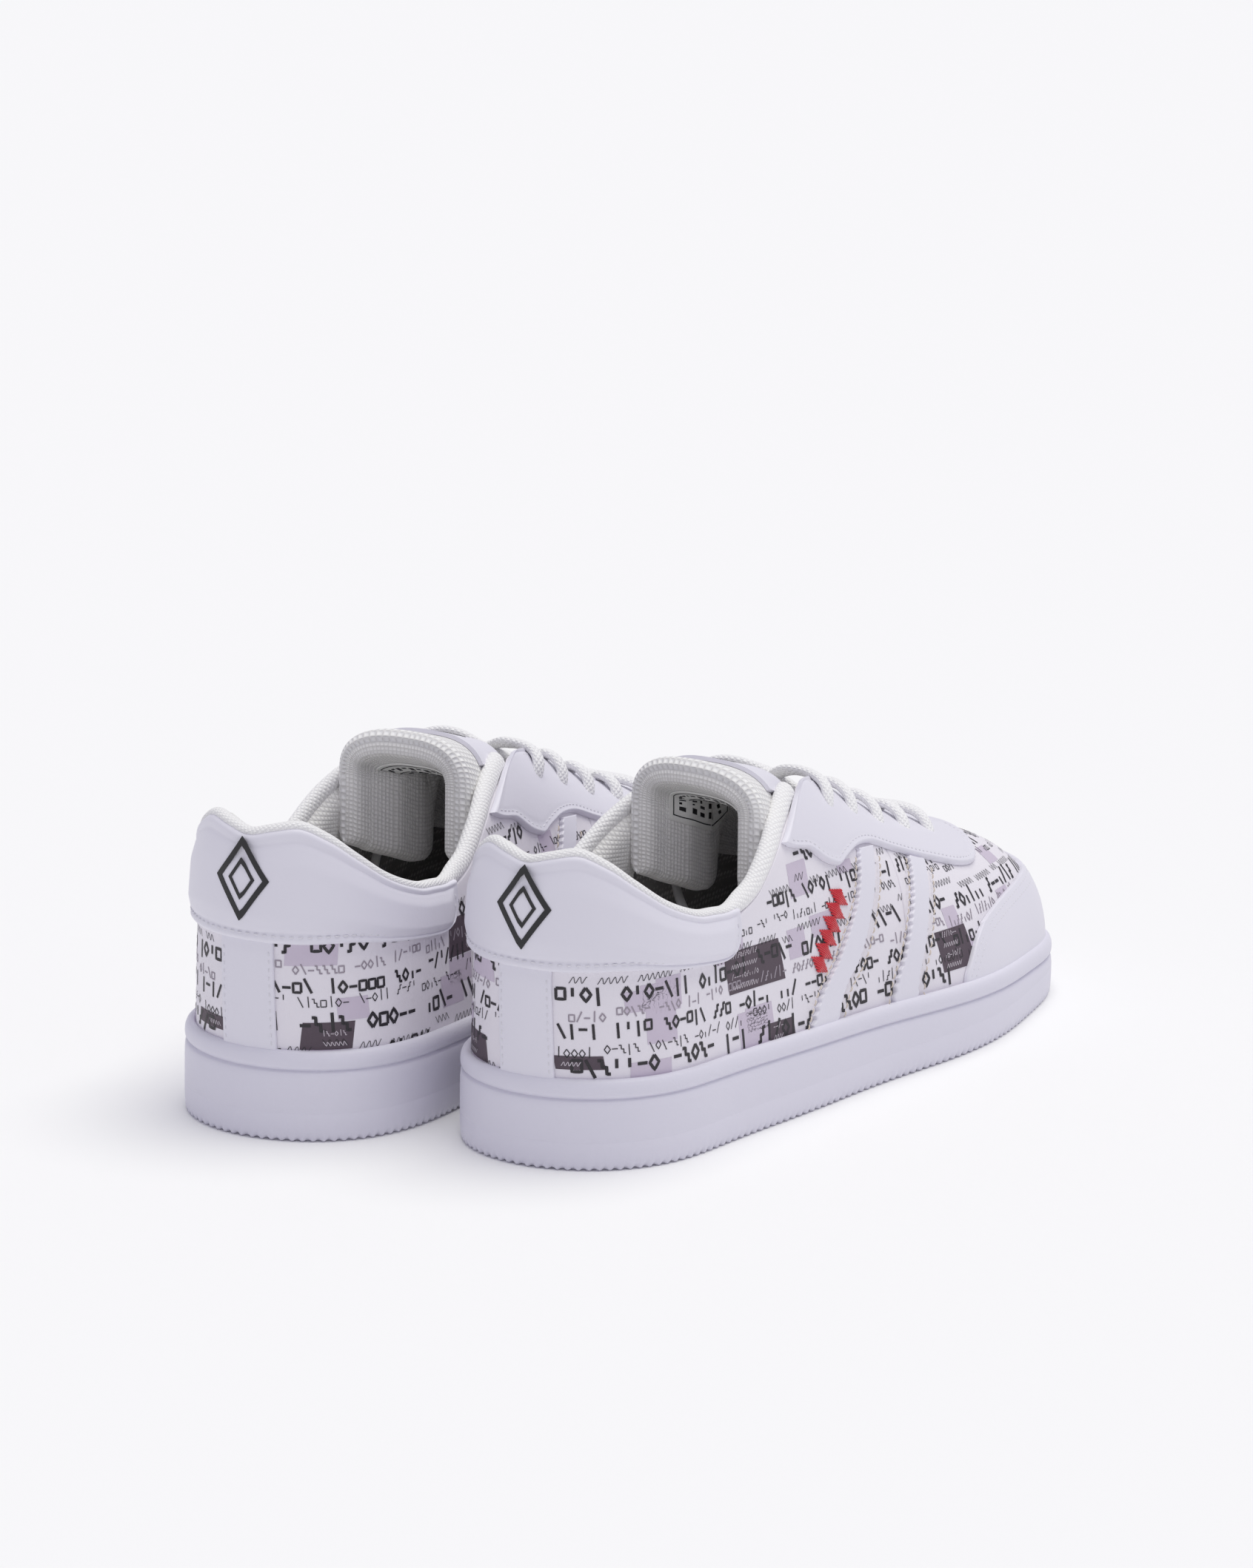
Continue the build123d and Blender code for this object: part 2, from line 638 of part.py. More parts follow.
def crossing(i, start, end, raised):
    """Lace from under the lower hole of one side, over the tongue, into the next hole up."""
    x_low, x_high = EYELET_X[i + 1], EYELET_X[i]
    mid = (x_low + x_high) / 2
    centre = np.array([mid, 0, ridge(mid) + (-0.9 if raised else -3.9)])
    return [lace_spot(start, x_low - 1.2, EYELET_Y[i + 1] - 4.5, UNDER),
            lace_spot(start, x_low - 4.5, 10.5, UNDER + 0.6), centre,
            lace_spot(end, mid - 3.0, 8.5, 1.6), lace_spot(end, x_high + 3.0, 14.5, OVER),
            lace_spot(end, x_high + 1.2, EYELET_Y[i] - 4.0, OVER - 0.2), eyelet(i, end, -0.8)]


def lace_legs():
    """The lace as held by the shoe: a bottom bar, then criss-cross up both ways."""
    x, y = EYELET_X[4], EYELET_Y[4]
    legs = [[eyelet(4, LATERAL, -0.8), lace_spot(LATERAL, x, y - 4.5, OVER - 0.1),
             np.array([x, 0, ridge(x) + 2.6]), lace_spot(MEDIAL, x, y - 4.5, OVER - 0.1),
             eyelet(4, MEDIAL, -0.8)]]
    for first in (LATERAL, MEDIAL):
        here = first
        for i in (3, 2, 1, 0):
            there = MEDIAL if here is LATERAL else LATERAL
            legs.append([eyelet(i + 1, here, -0.8)] + crossing(i, here, there, here is LATERAL))
            here = there
        legs.append([eyelet(0, here, -0.8),
                     lace_spot(here, EYELET_X[0] - 1.5, EYELET_Y[0] + 3.5, UNDER)])
    return legs


def lace():
    """One lace: its legs joined inside the lace holes."""
    whole = None
    for leg in lace_legs():
        joint = Pos(*leg[0]) * Sphere(LACE_R + 0.03)
        whole = joint + tube(leg, LACE_R) if whole is None else whole + joint + tube(leg, LACE_R)
    return whole + Pos(*lace_legs()[0][-1]) * Sphere(LACE_R + 0.03)


def tube(points, radius):
    corners = [Vector(*p) for p in points]
    path = Spline(*corners) if len(corners) > 2 else Line(*corners)
    start = Plane(origin=path @ 0, z_dir=path % 0)
    return sweep(start * Circle(radius), path=path, is_frenet=len(corners) > 2)


def lace_holes():
    holes = []
    for half in (LATERAL, MEDIAL):
        for i in range(5):
            low, high = eyelet(i, half, -9.0), eyelet(i, half, 6.0)
            axis = Vector(*(high - low))
            holes.append(Plane(origin=Vector(*low), z_dir=axis) * Cylinder(
                LACE_R + 0.55, axis.length, align=(Align.CENTER, Align.CENTER, Align.MIN)))
    return holes


LATERAL_TAIL = [(124.6, -25.6, 68.7), (118, -27.2, 59.0), (108, -25, 44), (98, -14, 27.5),
                (82, -7, 25.0), (64, -8, 25.4), (50, -5, 25.6)]
MEDIAL_TAIL = [(124.5, 19.3, 68.8), (119.5, 21.4, 59.5), (114, 17.5, 50.5), (108, 9.5, 45.0),
               (102, 3.5, 33.0), (94, 2.5, 25.5), (82, 7.0, 25.0), (70, 12, 25.2), (58, 12, 25.6)]


def rounded_tail(points):
    """Free lace end lying loosely down the side and along the insole."""
    radii = []
    for a, b, c in zip(points, points[1:], points[2:]):
        u, v = np.array(b) - a, np.array(c) - b
        cosine = np.dot(u, v) / np.linalg.norm(u) / np.linalg.norm(v)
        turn = np.arccos(np.clip(cosine, -1, 1))
        radii.append(round(float(0.45 * min(np.linalg.norm(u), np.linalg.norm(v))
                                 / np.tan(turn / 2)), 1))
    print("lace tail radii", radii)
    path = FilletPolyline(*[Vector(*p) for p in points], radius=radii)
    start = Plane(origin=path @ 0, z_dir=path % 0)
    return sweep(start * Circle(LACE_R), path=path), path


def aglet(path):
    end, way = path @ 1, path % 1
    return Plane(origin=end + way * 0.05, z_dir=way) * Cylinder(
        LACE_R + 0.2, 14, align=(Align.CENTER, Align.CENTER, Align.MIN))


def collar_binding():
    """Rolled knit edge round the foot opening."""
    top = full_top(0.4, 110)
    points = [layer_point(a, v, -1.3) for a, v in top]
    return tube(points, 1.7)


# ---------------------------------------------------------------- whole shoe
def build_shoe():
    tail_a, path_a = rounded_tail(LATERAL_TAIL)
    tail_b, path_b = rounded_tail(MEDIAL_TAIL)
    holes = lace_holes()

    def pierced(shape):
        for hole in holes:
            shape = shape - hole
        return shape
    toe_heights = [(182, 35.5), (192, 36.4), (206, 36.6), (220, 36.6), (232, 36.8)]
    nodes = {
        "cupsole": cupsole(),
        "midsole_wedge": inner_sole(level(5.1), lambda x: upper_base(x) - 2.1),
        "insole_board": inner_sole(lambda x: upper_base(x) - 2.0, lambda x: upper_base(x) - 0.3),
        "sockliner": inner_sole(lambda x: upper_base(x) + 0.1, lambda x: upper_base(x) + 3.6, 10.6),
        "heel_counter": wrap(COUNTER, 56, 26, root_height, 25, 5),
        "toe_puff": toe_band(TOE_PUFF, 205, root_height, [(210, 33), (220, 34), (230, 34.5)], 17, 5),
        "quarter_lateral": pierced(quarter(LATERAL)),
        "quarter_medial": pierced(quarter(MEDIAL)),
        "vamp": pierced(vamp()),
        "vamp_lining": pierced(forepart_lining()),
        "collar_lining": wrap(COLLAR_LINING, 86, PANEL_DROP, root_height),
        "collar_foam": wrap(COLLAR_FOAM, 85, PANEL_DROP + 0.3, lambda a: 44.0),
        "collar_binding": collar_binding(),
        "heel_patch": heel_patch(),
        "heel_emblem": diamond(0.5, 75.5, 8.5, 12.0, 1.5, (2.5, 2.9)),
        "back_stay": back_stay(),
        "lace_facing": pierced(lace_facing()),
        "stripes_lateral": Compound([stripe(LATERAL, edges) for edges in STRIPES]),
        "stripes_medial": Compound([stripe(MEDIAL, edges) for edges in STRIPES]),
        "toe_cap": toe_band(OVERLAY, 168.5, lip_height, toe_heights),
        "side_mark": side_mark(),
        "tongue_base": tongue_base(),
        "tongue_flap": flap((-1.1, 0.0)),
        "tongue_foam": flap((-6.9, -1.2), 90.5, BEND_X - 0.6, FLAP_SHARE - 0.02),
        "tongue_lining": flap((-8.0, -7.0)),
        "tongue_patch": tongue_patch(),
        "tongue_label": tongue_label(),
        "lace": lace(),
        "lace_tails": Compound([tail_a, tail_b]),
        "aglets": Compound([aglet(path_a), aglet(path_b)]),
    }
    return nodes


def place(shape, left):
    """Right shoe moved out by half the gap, or its mirror image moved the other way."""
    dx, dy = SHOE_GAP
    centre = (dx / 2, dy / 2)
    if not left:
        return Pos(-centre[0], -centre[1], 0) * shape
    return Pos(centre[0], centre[1], 0) * mirror(shape, about=Plane.XZ)


def main():
    os.makedirs("parts", exist_ok=True)
    shoe = build_shoe()
    whole = Compound([place(s, left) for s in shoe.values() for left in (False, True)])
    box = whole.bounding_box()
    shift = Pos(-(box.min.X + box.max.X) / 2, -(box.min.Y + box.max.Y) / 2, 0)
    print("box", box.size, "shift", shift.position, "floor", round(box.min.Z, 3))
    for name, shape in shoe.items():
        for side, left in (("right", False), ("left", True)):
            export_step(shift * place(shape, left), "parts/%s_%s.step" % (side, name))
    print("nodes", 2 * len(shoe))


main()
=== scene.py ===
import bpy
import math
import random
from functools import lru_cache
import numpy as np
from mathutils import Matrix, Vector


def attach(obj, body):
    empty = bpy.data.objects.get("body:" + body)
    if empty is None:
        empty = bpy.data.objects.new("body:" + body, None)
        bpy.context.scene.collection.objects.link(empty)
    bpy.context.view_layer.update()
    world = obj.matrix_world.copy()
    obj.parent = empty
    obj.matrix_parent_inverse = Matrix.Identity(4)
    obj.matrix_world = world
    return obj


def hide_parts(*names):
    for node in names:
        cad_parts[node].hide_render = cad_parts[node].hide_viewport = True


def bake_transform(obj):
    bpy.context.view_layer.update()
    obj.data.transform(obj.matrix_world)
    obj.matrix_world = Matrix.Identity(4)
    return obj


# A pair of white lace-up trainers on a white studio floor.  Shapes are worked out in
# millimetres for the right shoe (heel at x = 0, toe towards +X, outer side at -Y) and the
# left shoe is its mirror image.

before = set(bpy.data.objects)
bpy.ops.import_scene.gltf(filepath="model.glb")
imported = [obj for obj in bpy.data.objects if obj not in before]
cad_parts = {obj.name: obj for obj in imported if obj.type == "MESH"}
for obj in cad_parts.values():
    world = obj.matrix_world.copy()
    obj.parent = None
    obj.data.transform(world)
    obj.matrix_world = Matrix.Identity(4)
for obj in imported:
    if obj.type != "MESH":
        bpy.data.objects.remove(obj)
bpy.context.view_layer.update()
random.seed(11)
HALF_PI = math.pi / 2

# ---------------------------------------------------------------- shoe shape, as in the CAD
LENGTH = 260.0
STATIONS = [0.04, 0.10, 0.20, 0.35, 0.50, 0.62, 0.72, 0.82, 0.93]
LATERAL_WIDTH = [25.4, 35.0, 38.6, 42.4, 45.6, 49.8, 49.9, 45.0, 34.6]
MEDIAL_WIDTH = [25.6, 34.6, 37.2, 35.6, 35.6, 37.6, 38.8, 37.0, 30.0]
UPPER_INSET = 3.6
LIP_HEIGHT, LIP_FALL, UPPER_ROOT = 26.5, 10.7, 6.0
RIDGE_X = [0, 60, 80, 95, 105, 115, 124, 137, 150, 162, 180, 197, 210, 222, 238, 250, 262]
RIDGE_Z = [138, 134, 119, 103.5, 100.5, 97, 92, 84.5, 77.5, 71.5, 64, 57.5, 53, 49.5, 44.5, 40.5, 36]
SQUARENESS_X = [0, 60, 105, 137, 200, 228, 262]
SQUARENESS_N = [3.0, 3.0, 2.6, 2.2, 2.2, 2.6, 2.7]
TOPLINE_X = [3, 8, 13, 20, 28, 38, 46, 54, 64, 74, 81, 88, 95, 103, 112]
TOPLINE_Z = [90.5, 91.5, 88.0, 81.5, 74.5, 69.8, 67.6, 66.5, 66.0, 69.0, 73.5, 78.0, 82.0, 85.8, 88.5]
HEEL_ARCS = [0, 8, 15, 24, 33]
HEEL_TOPS = [88.8, 90.4, 91.5, 88.0, 81.5]
FACING_EDGE = [(92, 77.0), (104, 72.6), (112.5, 67.0), (117.5, 64.8), (123, 65.8), (132, 67.0),
               (141, 65.6), (150, 62.0), (162, 57.4), (176, 52.5), (190, 48.0), (201, 46.2),
               (209, 47.2)]
STRIPES = [([(90, 0), (98.5, 31.7), (109.5, 40.6), (122.5, 53.8), (131.5, 66.4)],
            [(104, 0), (111, 31.0), (119.8, 38.1), (130.8, 52.4), (140.8, 65.0)]),
           ([(131.5, 0), (135, 27.0), (139.5, 33.5), (147.7, 45.3), (160, 57.6)],
            [(144.5, 0), (147, 28.4), (150, 33.5), (156, 42.5), (169, 54.4)])]
TOE_CAP_EDGE = [(184.5, 34.0), (192, 35.3), (204, 36.3), (218, 36.8), (232, 36.8)]
THROAT_HALF, THROAT_END = 10.0, 196.0       # half width of the throat at its front, and its end
EYELET_X = [127, 142, 158.5, 175.5, 193]
EYELET_Y = [25.0, 24.4, 23.6, 22.6, 21.6]
BEND_X = 118.0
SPINE_HEEL, SPINE_TOE, SPINE_SOFT = 36, 228, 6      # sections turn about a spine between these x
SIDE_LEAN, HEEL_LEAN = 0.0023, 3.2                  # sides lean in per millimetre of height
PANEL_DROP = 3.2
SEAM_FOOT, SEAM_TOP = 140, 150


def distances(points):
    """Way along a line from its start to each of its points."""
    steps = np.linalg.norm(np.diff(points, axis=0), axis=1)
    return np.concatenate([[0], np.cumsum(steps)])


def unit(vectors, least=1e-9):
    return vectors / (np.linalg.norm(vectors, axis=-1, keepdims=True) + least)


def ease(t):
    return t * t * (3 - 2 * t)


def spline(xs, ys):
    """Natural cubic spline through the points."""
    xs, ys = np.array(xs, float), np.array(ys, float)
    n, h = len(xs), np.diff(xs)
    a, b = np.zeros((n, n)), np.zeros(n)
    a[0, 0] = a[-1, -1] = 1
    for i in range(1, n - 1):
        a[i, i - 1:i + 2] = [h[i - 1], 2 * (h[i - 1] + h[i]), h[i]]
        b[i] = 6 * ((ys[i + 1] - ys[i]) / h[i] - (ys[i] - ys[i - 1]) / h[i - 1])
    m = np.linalg.solve(a, b)

    def value(x):
        x = np.asarray(x, float)
        i = np.clip(np.searchsorted(xs, x) - 1, 0, n - 2)
        d, w = x - xs[i], h[i]
        c = (ys[i + 1] - ys[i]) / w - w * (2 * m[i] + m[i + 1]) / 6
        return ys[i] + c * d + m[i] / 2 * d * d + (m[i + 1] - m[i]) / (6 * w) * d ** 3
    return value


def monotone(xs, ys):
    """Smooth curve through the points that never overshoots them."""
    xs, ys = np.array(xs, float), np.array(ys, float)
    h = np.diff(xs)
    d = np.diff(ys) / h
    m = np.concatenate([[d[0]], (d[1:] + d[:-1]) / 2, [d[-1]]])
    for i in range(len(d)):
        if i and d[i - 1] * d[i] <= 0:
            m[i] = 0
        for k in (i, i + 1):
            m[k] = np.sign(d[i]) * min(abs(m[k]), 3 * abs(d[i])) if d[i] * m[k] > 0 else 0.0

    def value(x):
        x = np.asarray(x, float)
        i = np.clip(np.searchsorted(xs, x) - 1, 0, len(h) - 1)
        t, w = (x - xs[i]) / h[i], h[i]
        return (ys[i] * (1 + 2 * t) * (1 - t) ** 2 + ys[i + 1] * t * t * (3 - 2 * t)
                + m[i] * w * t * (1 - t) ** 2 - m[i + 1] * w * t * t * (1 - t))
    return value


def half_outline(widths, inset=0.0, count=241):
    """Half of the sole's plan outline from heel to toe, moved inwards by the inset (y > 0)."""
    side = [(f * LENGTH, w) for f, w in zip(STATIONS, widths)]
    mirror = [(x, -y) for x, y in side[::-1]]
    full = np.array(mirror[-3:] + [(0, 0)] + side + [(LENGTH, 0)] + mirror[:3])
    t = distances(full)
    fx, fy = spline(t, full[:, 0]), spline(t, full[:, 1])
    s = np.linspace(t[3], t[-4], count)
    dx, dy = fx(s + 0.05) - fx(s - 0.05), fy(s + 0.05) - fy(s - 0.05)
    run = np.hypot(dx, dy)
    out = np.column_stack([fx(s) + dy / run * inset, fy(s) - dx / run * inset])
    out[0, 1] = out[-1, 1] = 0
    return out


def lip_top(x):
    return LIP_HEIGHT - LIP_FALL * (np.clip(x, 0, LENGTH) / LENGTH) ** 1.5


def upper_base(x):
    return lip_top(x) - UPPER_ROOT


def throat_half(x):
    return THROAT_HALF + 9.0 * (max(150.0 - x, 0.0) / 30.0) ** 1.2


ridge = spline(RIDGE_X, RIDGE_Z)
squareness = spline(SQUARENESS_X, SQUARENESS_N)
topline = spline(TOPLINE_X, TOPLINE_Z)


class HalfLast:
    """One side of the upper's outer surface: arc length along its base, and an angle up it."""

    def __init__(self, widths, sign):
        self.sign, self.base = sign, half_outline(widths, UPPER_INSET)
        self.arc = distances(self.base)
        self.length = float(self.arc[-1])
        self.bx = spline(self.arc[::6], self.base[::6, 0])
        self.by = spline(self.arc[::6], self.base[::6, 1])

    def arc_at(self, x):
        return float(np.interp(x, self.base[:, 0], self.arc))

    def point(self, a, angle):
        bx, by = self.bx(a), self.by(a)
        spine = SPINE_HEEL + SPINE_SOFT * np.log1p(np.exp((bx - SPINE_HEEL) / SPINE_SOFT))
        spine = SPINE_TOE - SPINE_SOFT * np.log1p(np.exp((SPINE_TOE - spine) / SPINE_SOFT))
        n = squareness(bx)
        c, s = np.cos(angle), np.sin(angle)
        r = (np.abs(c) ** n + np.abs(s) ** n) ** (1 / n)
        c, s = c / r, s / r
        x, y = spine + (bx - spine) * c, by * c
        z = upper_base(bx) + (ridge(x) - upper_base(bx)) * s
        lean = 0.4 + 0.6 * np.clip((x - 15) / 45, 0, 1)
        front = np.clip((x - 105) / 45, 0, 1)
        lean = lean * (1 - ease(front))
        y = y * (1 - SIDE_LEAN * np.maximum(z - 25, 0) * lean)
        x = x - np.maximum(1 - bx / 45, 0) ** 2 * HEEL_LEAN * np.clip((z - 20) / 35, 0, 1) ** 0.8
        return np.stack([x, self.sign * y, z], -1)


LATERAL, MEDIAL = HalfLast(LATERAL_WIDTH, -1), HalfLast(MEDIAL_WIDTH, 1)
ALL_ROUND = LATERAL.length + MEDIAL.length


def surface(arc, angle):
    """Outer surface all the way round; see the CAD for how the arc runs."""
    arc, angle = np.broadcast_arrays(np.asarray(arc, float), np.asarray(angle, float))
    lateral = LATERAL.point(np.clip(arc, 0, LATERAL.length), angle)
    past = arc > LATERAL.length
    own = np.where(past, ALL_ROUND - arc, -arc)
    medial = MEDIAL.point(np.clip(own, 0, MEDIAL.length), angle)
    return np.where(((arc < 0) | past)[..., None], medial, lateral)


def layer(arc, angle, offset):
    """Points at an offset along the outward normal, and the normals."""
    arc, angle = np.broadcast_arrays(np.asarray(arc, float), np.asarray(angle, float))
    mid = np.clip(angle, 0.01, HALF_PI - 0.02)
    along_arc = surface(arc + 0.4, mid) - surface(arc - 0.4, mid)
    up = surface(arc, np.minimum(mid + 0.01, HALF_PI)) - surface(arc, mid - 0.01)
    n = np.cross(along_arc, up)
    n[..., 1] = np.where(np.abs(angle - HALF_PI) < 1e-6, 0.0, n[..., 1])
    n = unit(n, 0.0)
    p = surface(arc, angle)
    outward = np.stack([p[..., 0] - np.clip(p[..., 0], 40, 225), p[..., 1],
                        np.full(p.shape[:-1], 12.0)], -1)
    n *= np.where((n * outward).sum(-1) >= 0, 1.0, -1.0)[..., None]
    return p + n * np.asarray(offset)[..., None], n


def solve_angle(test):
    """Angle at which the test turns from true (too low) to false."""
    low, high = 0.0, HALF_PI
    for _ in range(30):
        mid = (low + high) / 2
        low, high = (mid, high) if test(mid) else (low, mid)
    return (low + high) / 2


def angle_at(arc, z):
    return solve_angle(lambda v: surface(arc, v)[2] < z)


def side_arc(half, x):
    return half.arc_at(x) * (1 if half is LATERAL else -1)


@lru_cache(maxsize=None)
def at(half, x, z):
    arc = side_arc(half, x)
    return arc, angle_at(arc, z)


@lru_cache(maxsize=None)
def across(half, x, width):
    arc = side_arc(half, x)
    width = width * float(half.by(abs(arc)) / LATERAL.by(side_arc(LATERAL, x)))
    return arc, solve_angle(lambda v: abs(surface(arc, v)[1]) > width)


def along(points, f):
    """Places at fractions of the way along a polyline in (arc, angle), smoothed."""
    points, f = np.array(points, float), np.asarray(f, float)
    if len(points) == 2:
        return points[0] * (1 - f[..., None]) + points[1] * f[..., None]
    run = distances(points * [1, 60])
    return np.stack([monotone(run, points[:, k])(f * run[-1]) for k in (0, 1)], -1)


def coons(low, high, start, end, f, g):
    """Grid of (arc, angle) places over a four-edged patch."""
    f, g = f[:, None], g[None, :]
    low_end, high_end = np.array(low, float), np.array(high, float)
    bottom, top = along(low, f[:, 0])[:, None], along(high, f[:, 0])[:, None]
    first, last = along(start, g[0])[None], along(end, g[0])[None]
    g3, f3 = g[..., None], f[..., None]
    place = bottom * (1 - g3) + top * g3
    place = place + (1 - f3) * (first - (low_end[0] * (1 - g3) + high_end[0] * g3))
    return place + f3 * (last - (low_end[-1] * (1 - g3) + high_end[-1] * g3))


def ends(low, high):
    """Straight end edges between two long edges."""
    return [low[0], high[0]], [low[-1], high[-1]]


# ---------------------------------------------------------------- making mesh objects
ORIGIN_X, ORIGIN_Y = -120.439, -40.2        # where the right shoe's heel and centre line stand
LEFT_STEP = -17.3                           # the left shoe stands this far further back


def to_world(points, side):
    """Right-shoe millimetres to world metres, for either shoe."""
    p = np.array(points, float)
    x = p[..., 0] + ORIGIN_X + (LEFT_STEP if side == "left" else 0)
    y = p[..., 1] + ORIGIN_Y
    if side == "left":
        y = -y
    return np.stack([x, y, p[..., 2]], -1) / 1000


def new_object(name, data):
    obj = bpy.data.objects.new(name, data)
    bpy.context.scene.collection.objects.link(obj)
    return obj


def add_mesh(name, side, points, faces, materials, uv=None, face_material=None, sharp=42):
    """Mesh object for one shoe; points are right-shoe millimetres."""
    mesh = bpy.data.meshes.new(side + "_" + name)
    faces = [tuple(f) for f in faces]
    if side == "left":
        faces = [f[::-1] for f in faces]
    mesh.from_pydata([tuple(p) for p in to_world(points, side)], [], faces)
    for material in materials if isinstance(materials, (list, tuple)) else [materials]:
        mesh.materials.append(material)
    mesh.polygons.foreach_set("use_smooth", [True] * len(mesh.polygons))
    if face_material is not None:
        mesh.polygons.foreach_set("material_index", face_material)
    if uv is not None:
        layer_uv = mesh.uv_layers.new(name="UVMap")
        index = np.empty(len(mesh.loops), int)
        mesh.loops.foreach_get("vertex_index", index)
        layer_uv.data.foreach_set("uv", np.asarray(uv, float)[index].ravel())
    mesh.update()
    mesh.set_sharp_from_angle(angle=math.radians(sharp))
    return new_object(side + "_" + name, mesh)


def quads(nu, nv, first=0, flip=False):
    """Quad faces over a grid of vertices."""
    i, j = np.meshgrid(np.arange(nu - 1), np.arange(nv - 1), indexing="ij")
    a = first + (i * nv + j).ravel()
    cells = np.stack([a, a + nv, a + nv + 1, a + 1], -1)
    return (cells[:, ::-1] if flip else cells).tolist()


def ticks(count, edge):
    """Fractions 0 to 1, closer together within the edge fraction at both ends."""
    near = np.array([0, 0.12, 0.3, 0.55, 0.8, 1.0]) * edge
    inner = np.linspace(edge, 1 - edge, count)
    return np.concatenate([near[:-1], inner, 1 - near[::-1][1:]])


def shell(outer, inner):
    """Closed skin between two matching grids of points."""
    nu, nv = outer.shape[:2]
    faces = quads(nu, nv) + quads(nu, nv, nu * nv, flip=True)
    n = nu * nv
    rim = [i * nv for i in range(nu)] + [(nu - 1) * nv + j for j in range(1, nv)]
    rim += [i * nv + nv - 1 for i in range(nu - 2, -1, -1)] + [j for j in range(nv - 2, 0, -1)]
    for a, b in zip(rim, rim[1:] + rim[:1]):
        faces.append([b, a, a + n, b + n])
    return np.concatenate([outer.reshape(-1, 3), inner.reshape(-1, 3)]), faces


def grid_lengths(grid):
    u = np.linalg.norm(np.diff(grid, axis=0), axis=-1).sum(0).mean()
    v = np.linalg.norm(np.diff(grid, axis=1), axis=-1).sum(1).mean()
    return u, v


def edge_distance(f, g, size):
    """Distance in millimetres from each grid place to the panel's nearest edge."""
    du = np.minimum(f, 1 - f)[:, None] * size[0]
    dv = np.minimum(g, 1 - g)[None, :] * size[1]
    return np.minimum(du, dv)


def rounded(distance, radius, depth):
    """How far a rounded edge falls below the face, by distance from the edge."""
    t = np.clip(distance / radius, 0, 1)
    return depth * (1 - np.sqrt(np.clip(1 - (1 - t) ** 2, 0, 1)))


def panel(low, high, span, nu, nv, start=None, end=None, radius=0.8, puff=None):
    """Points, faces and UVs of a panel with rounded edges; puff adds to its outer face."""
    start, end = start or ends(low, high)[0], end or ends(low, high)[1]
    rough = coons(low, high, start, end, np.linspace(0, 1, 20), np.linspace(0, 1, 8))
    size = grid_lengths(layer(rough[..., 0], rough[..., 1], 0.0)[0])
    f, g = ticks(nu, min(radius / size[0], 0.3)), ticks(nv, min(radius / size[1], 0.3))
    where = coons(low, high, start, end, f, g)
    return finish_panel(where, f, g, size, span, radius, puff)


def panel_skins(where, distance, span, radius, puff):
    """Outer and inner points of a panel, and its flat layout (arc and height)."""
    arc, angle = where[..., 0], where[..., 1]
    top = span[1] - rounded(distance, radius, (span[1] - span[0]) * 0.8)
    if puff is not None:
        top = top + puff(distance)
    outer, inner = (layer(arc, angle, offset)[0] for offset in (top, np.full(arc.shape, span[0])))
    return outer, inner, np.stack([arc, surface(arc, angle)[..., 2]], -1)


def closed_panel(outer, inner, flat):
    points, faces = shell(outer, inner)
    return points, faces, np.tile(flat.reshape(-1, 2) / 100, (2, 1))


def finish_panel(where, f, g, size, span, radius, puff):
    return closed_panel(*panel_skins(where, edge_distance(f, g, size), span, radius, puff))


def wrap_panel(edges_of, span, nu, nv, radius=0.8, puff=None):
    """Panel over the forepart in one piece, built from its two halves."""
    f = np.concatenate([ticks(nu, 0.01)[:5], np.linspace(0.01, 1, nu)])
    g = ticks(nv, 0.035)
    wheres = [coons(*edges_of(half), f, g) for half in (LATERAL, MEDIAL)]
    u, v = grid_lengths(layer(wheres[0][..., 0], wheres[0][..., 1], 0.0)[0])
    distance = edge_distance(np.concatenate([f / 2, 1 - f[::-1][1:] / 2]), g, [2 * u, v])
    parts = distance[:len(f)], distance[len(f) - 1:][::-1]
    halves = [panel_skins(w, part, span, radius, puff) for w, part in zip(wheres, parts)]
    for sign, (_, _, flat) in zip((1, -1), halves):
        flat[..., 0] = np.abs(flat[..., 0]) * sign

    def joined(first, second):
        middle = (first[-1:] + second[-1:]) / 2
        if first.shape[-1] == 3:
            middle[..., 1] = 0
        return np.concatenate([first[:-1], middle, second[::-1][1:]])
    return closed_panel(*(joined(*pair) for pair in zip(*halves)))


# ---------------------------------------------------------------- materials
def new_material(name, color, roughness):
    material = bpy.data.materials.new(name)
    material.use_nodes = True
    shader = material.node_tree.nodes["Principled BSDF"]
    shader.inputs["Base Color"].default_value = (*color, 1)
    shader.inputs["Roughness"].default_value = roughness
    return material, material.node_tree, shader


def add_node(tree, kind, *inputs, **values):
    """New node; inputs go in by place and values by name, each a link or a number."""
    node = tree.nodes.new(kind)
    for key, value in [*enumerate(inputs), *values.items()]:
        if isinstance(value, bpy.types.NodeSocket):
            tree.links.new(value, node.inputs[key])
        elif isinstance(key, int) or key in node.inputs:
            node.inputs[key].default_value = value
        else:
            setattr(node, key, value)
    return node


def coordinates(tree, kind):
    return add_node(tree, "ShaderNodeTexCoord").outputs[kind]


def noise_height(tree, scale, detail=2.0):
    place = coordinates(tree, "Object")
    return add_node(tree, "ShaderNodeTexNoise", Vector=place, Scale=scale, Detail=detail).outputs[0]


def add_bump(tree, shader, height, distance, strength):
    bump = add_node(tree, "ShaderNodeBump", Height=height, Strength=strength, Distance=distance)
    tree.links.new(bump.outputs["Normal"], shader.inputs["Normal"])


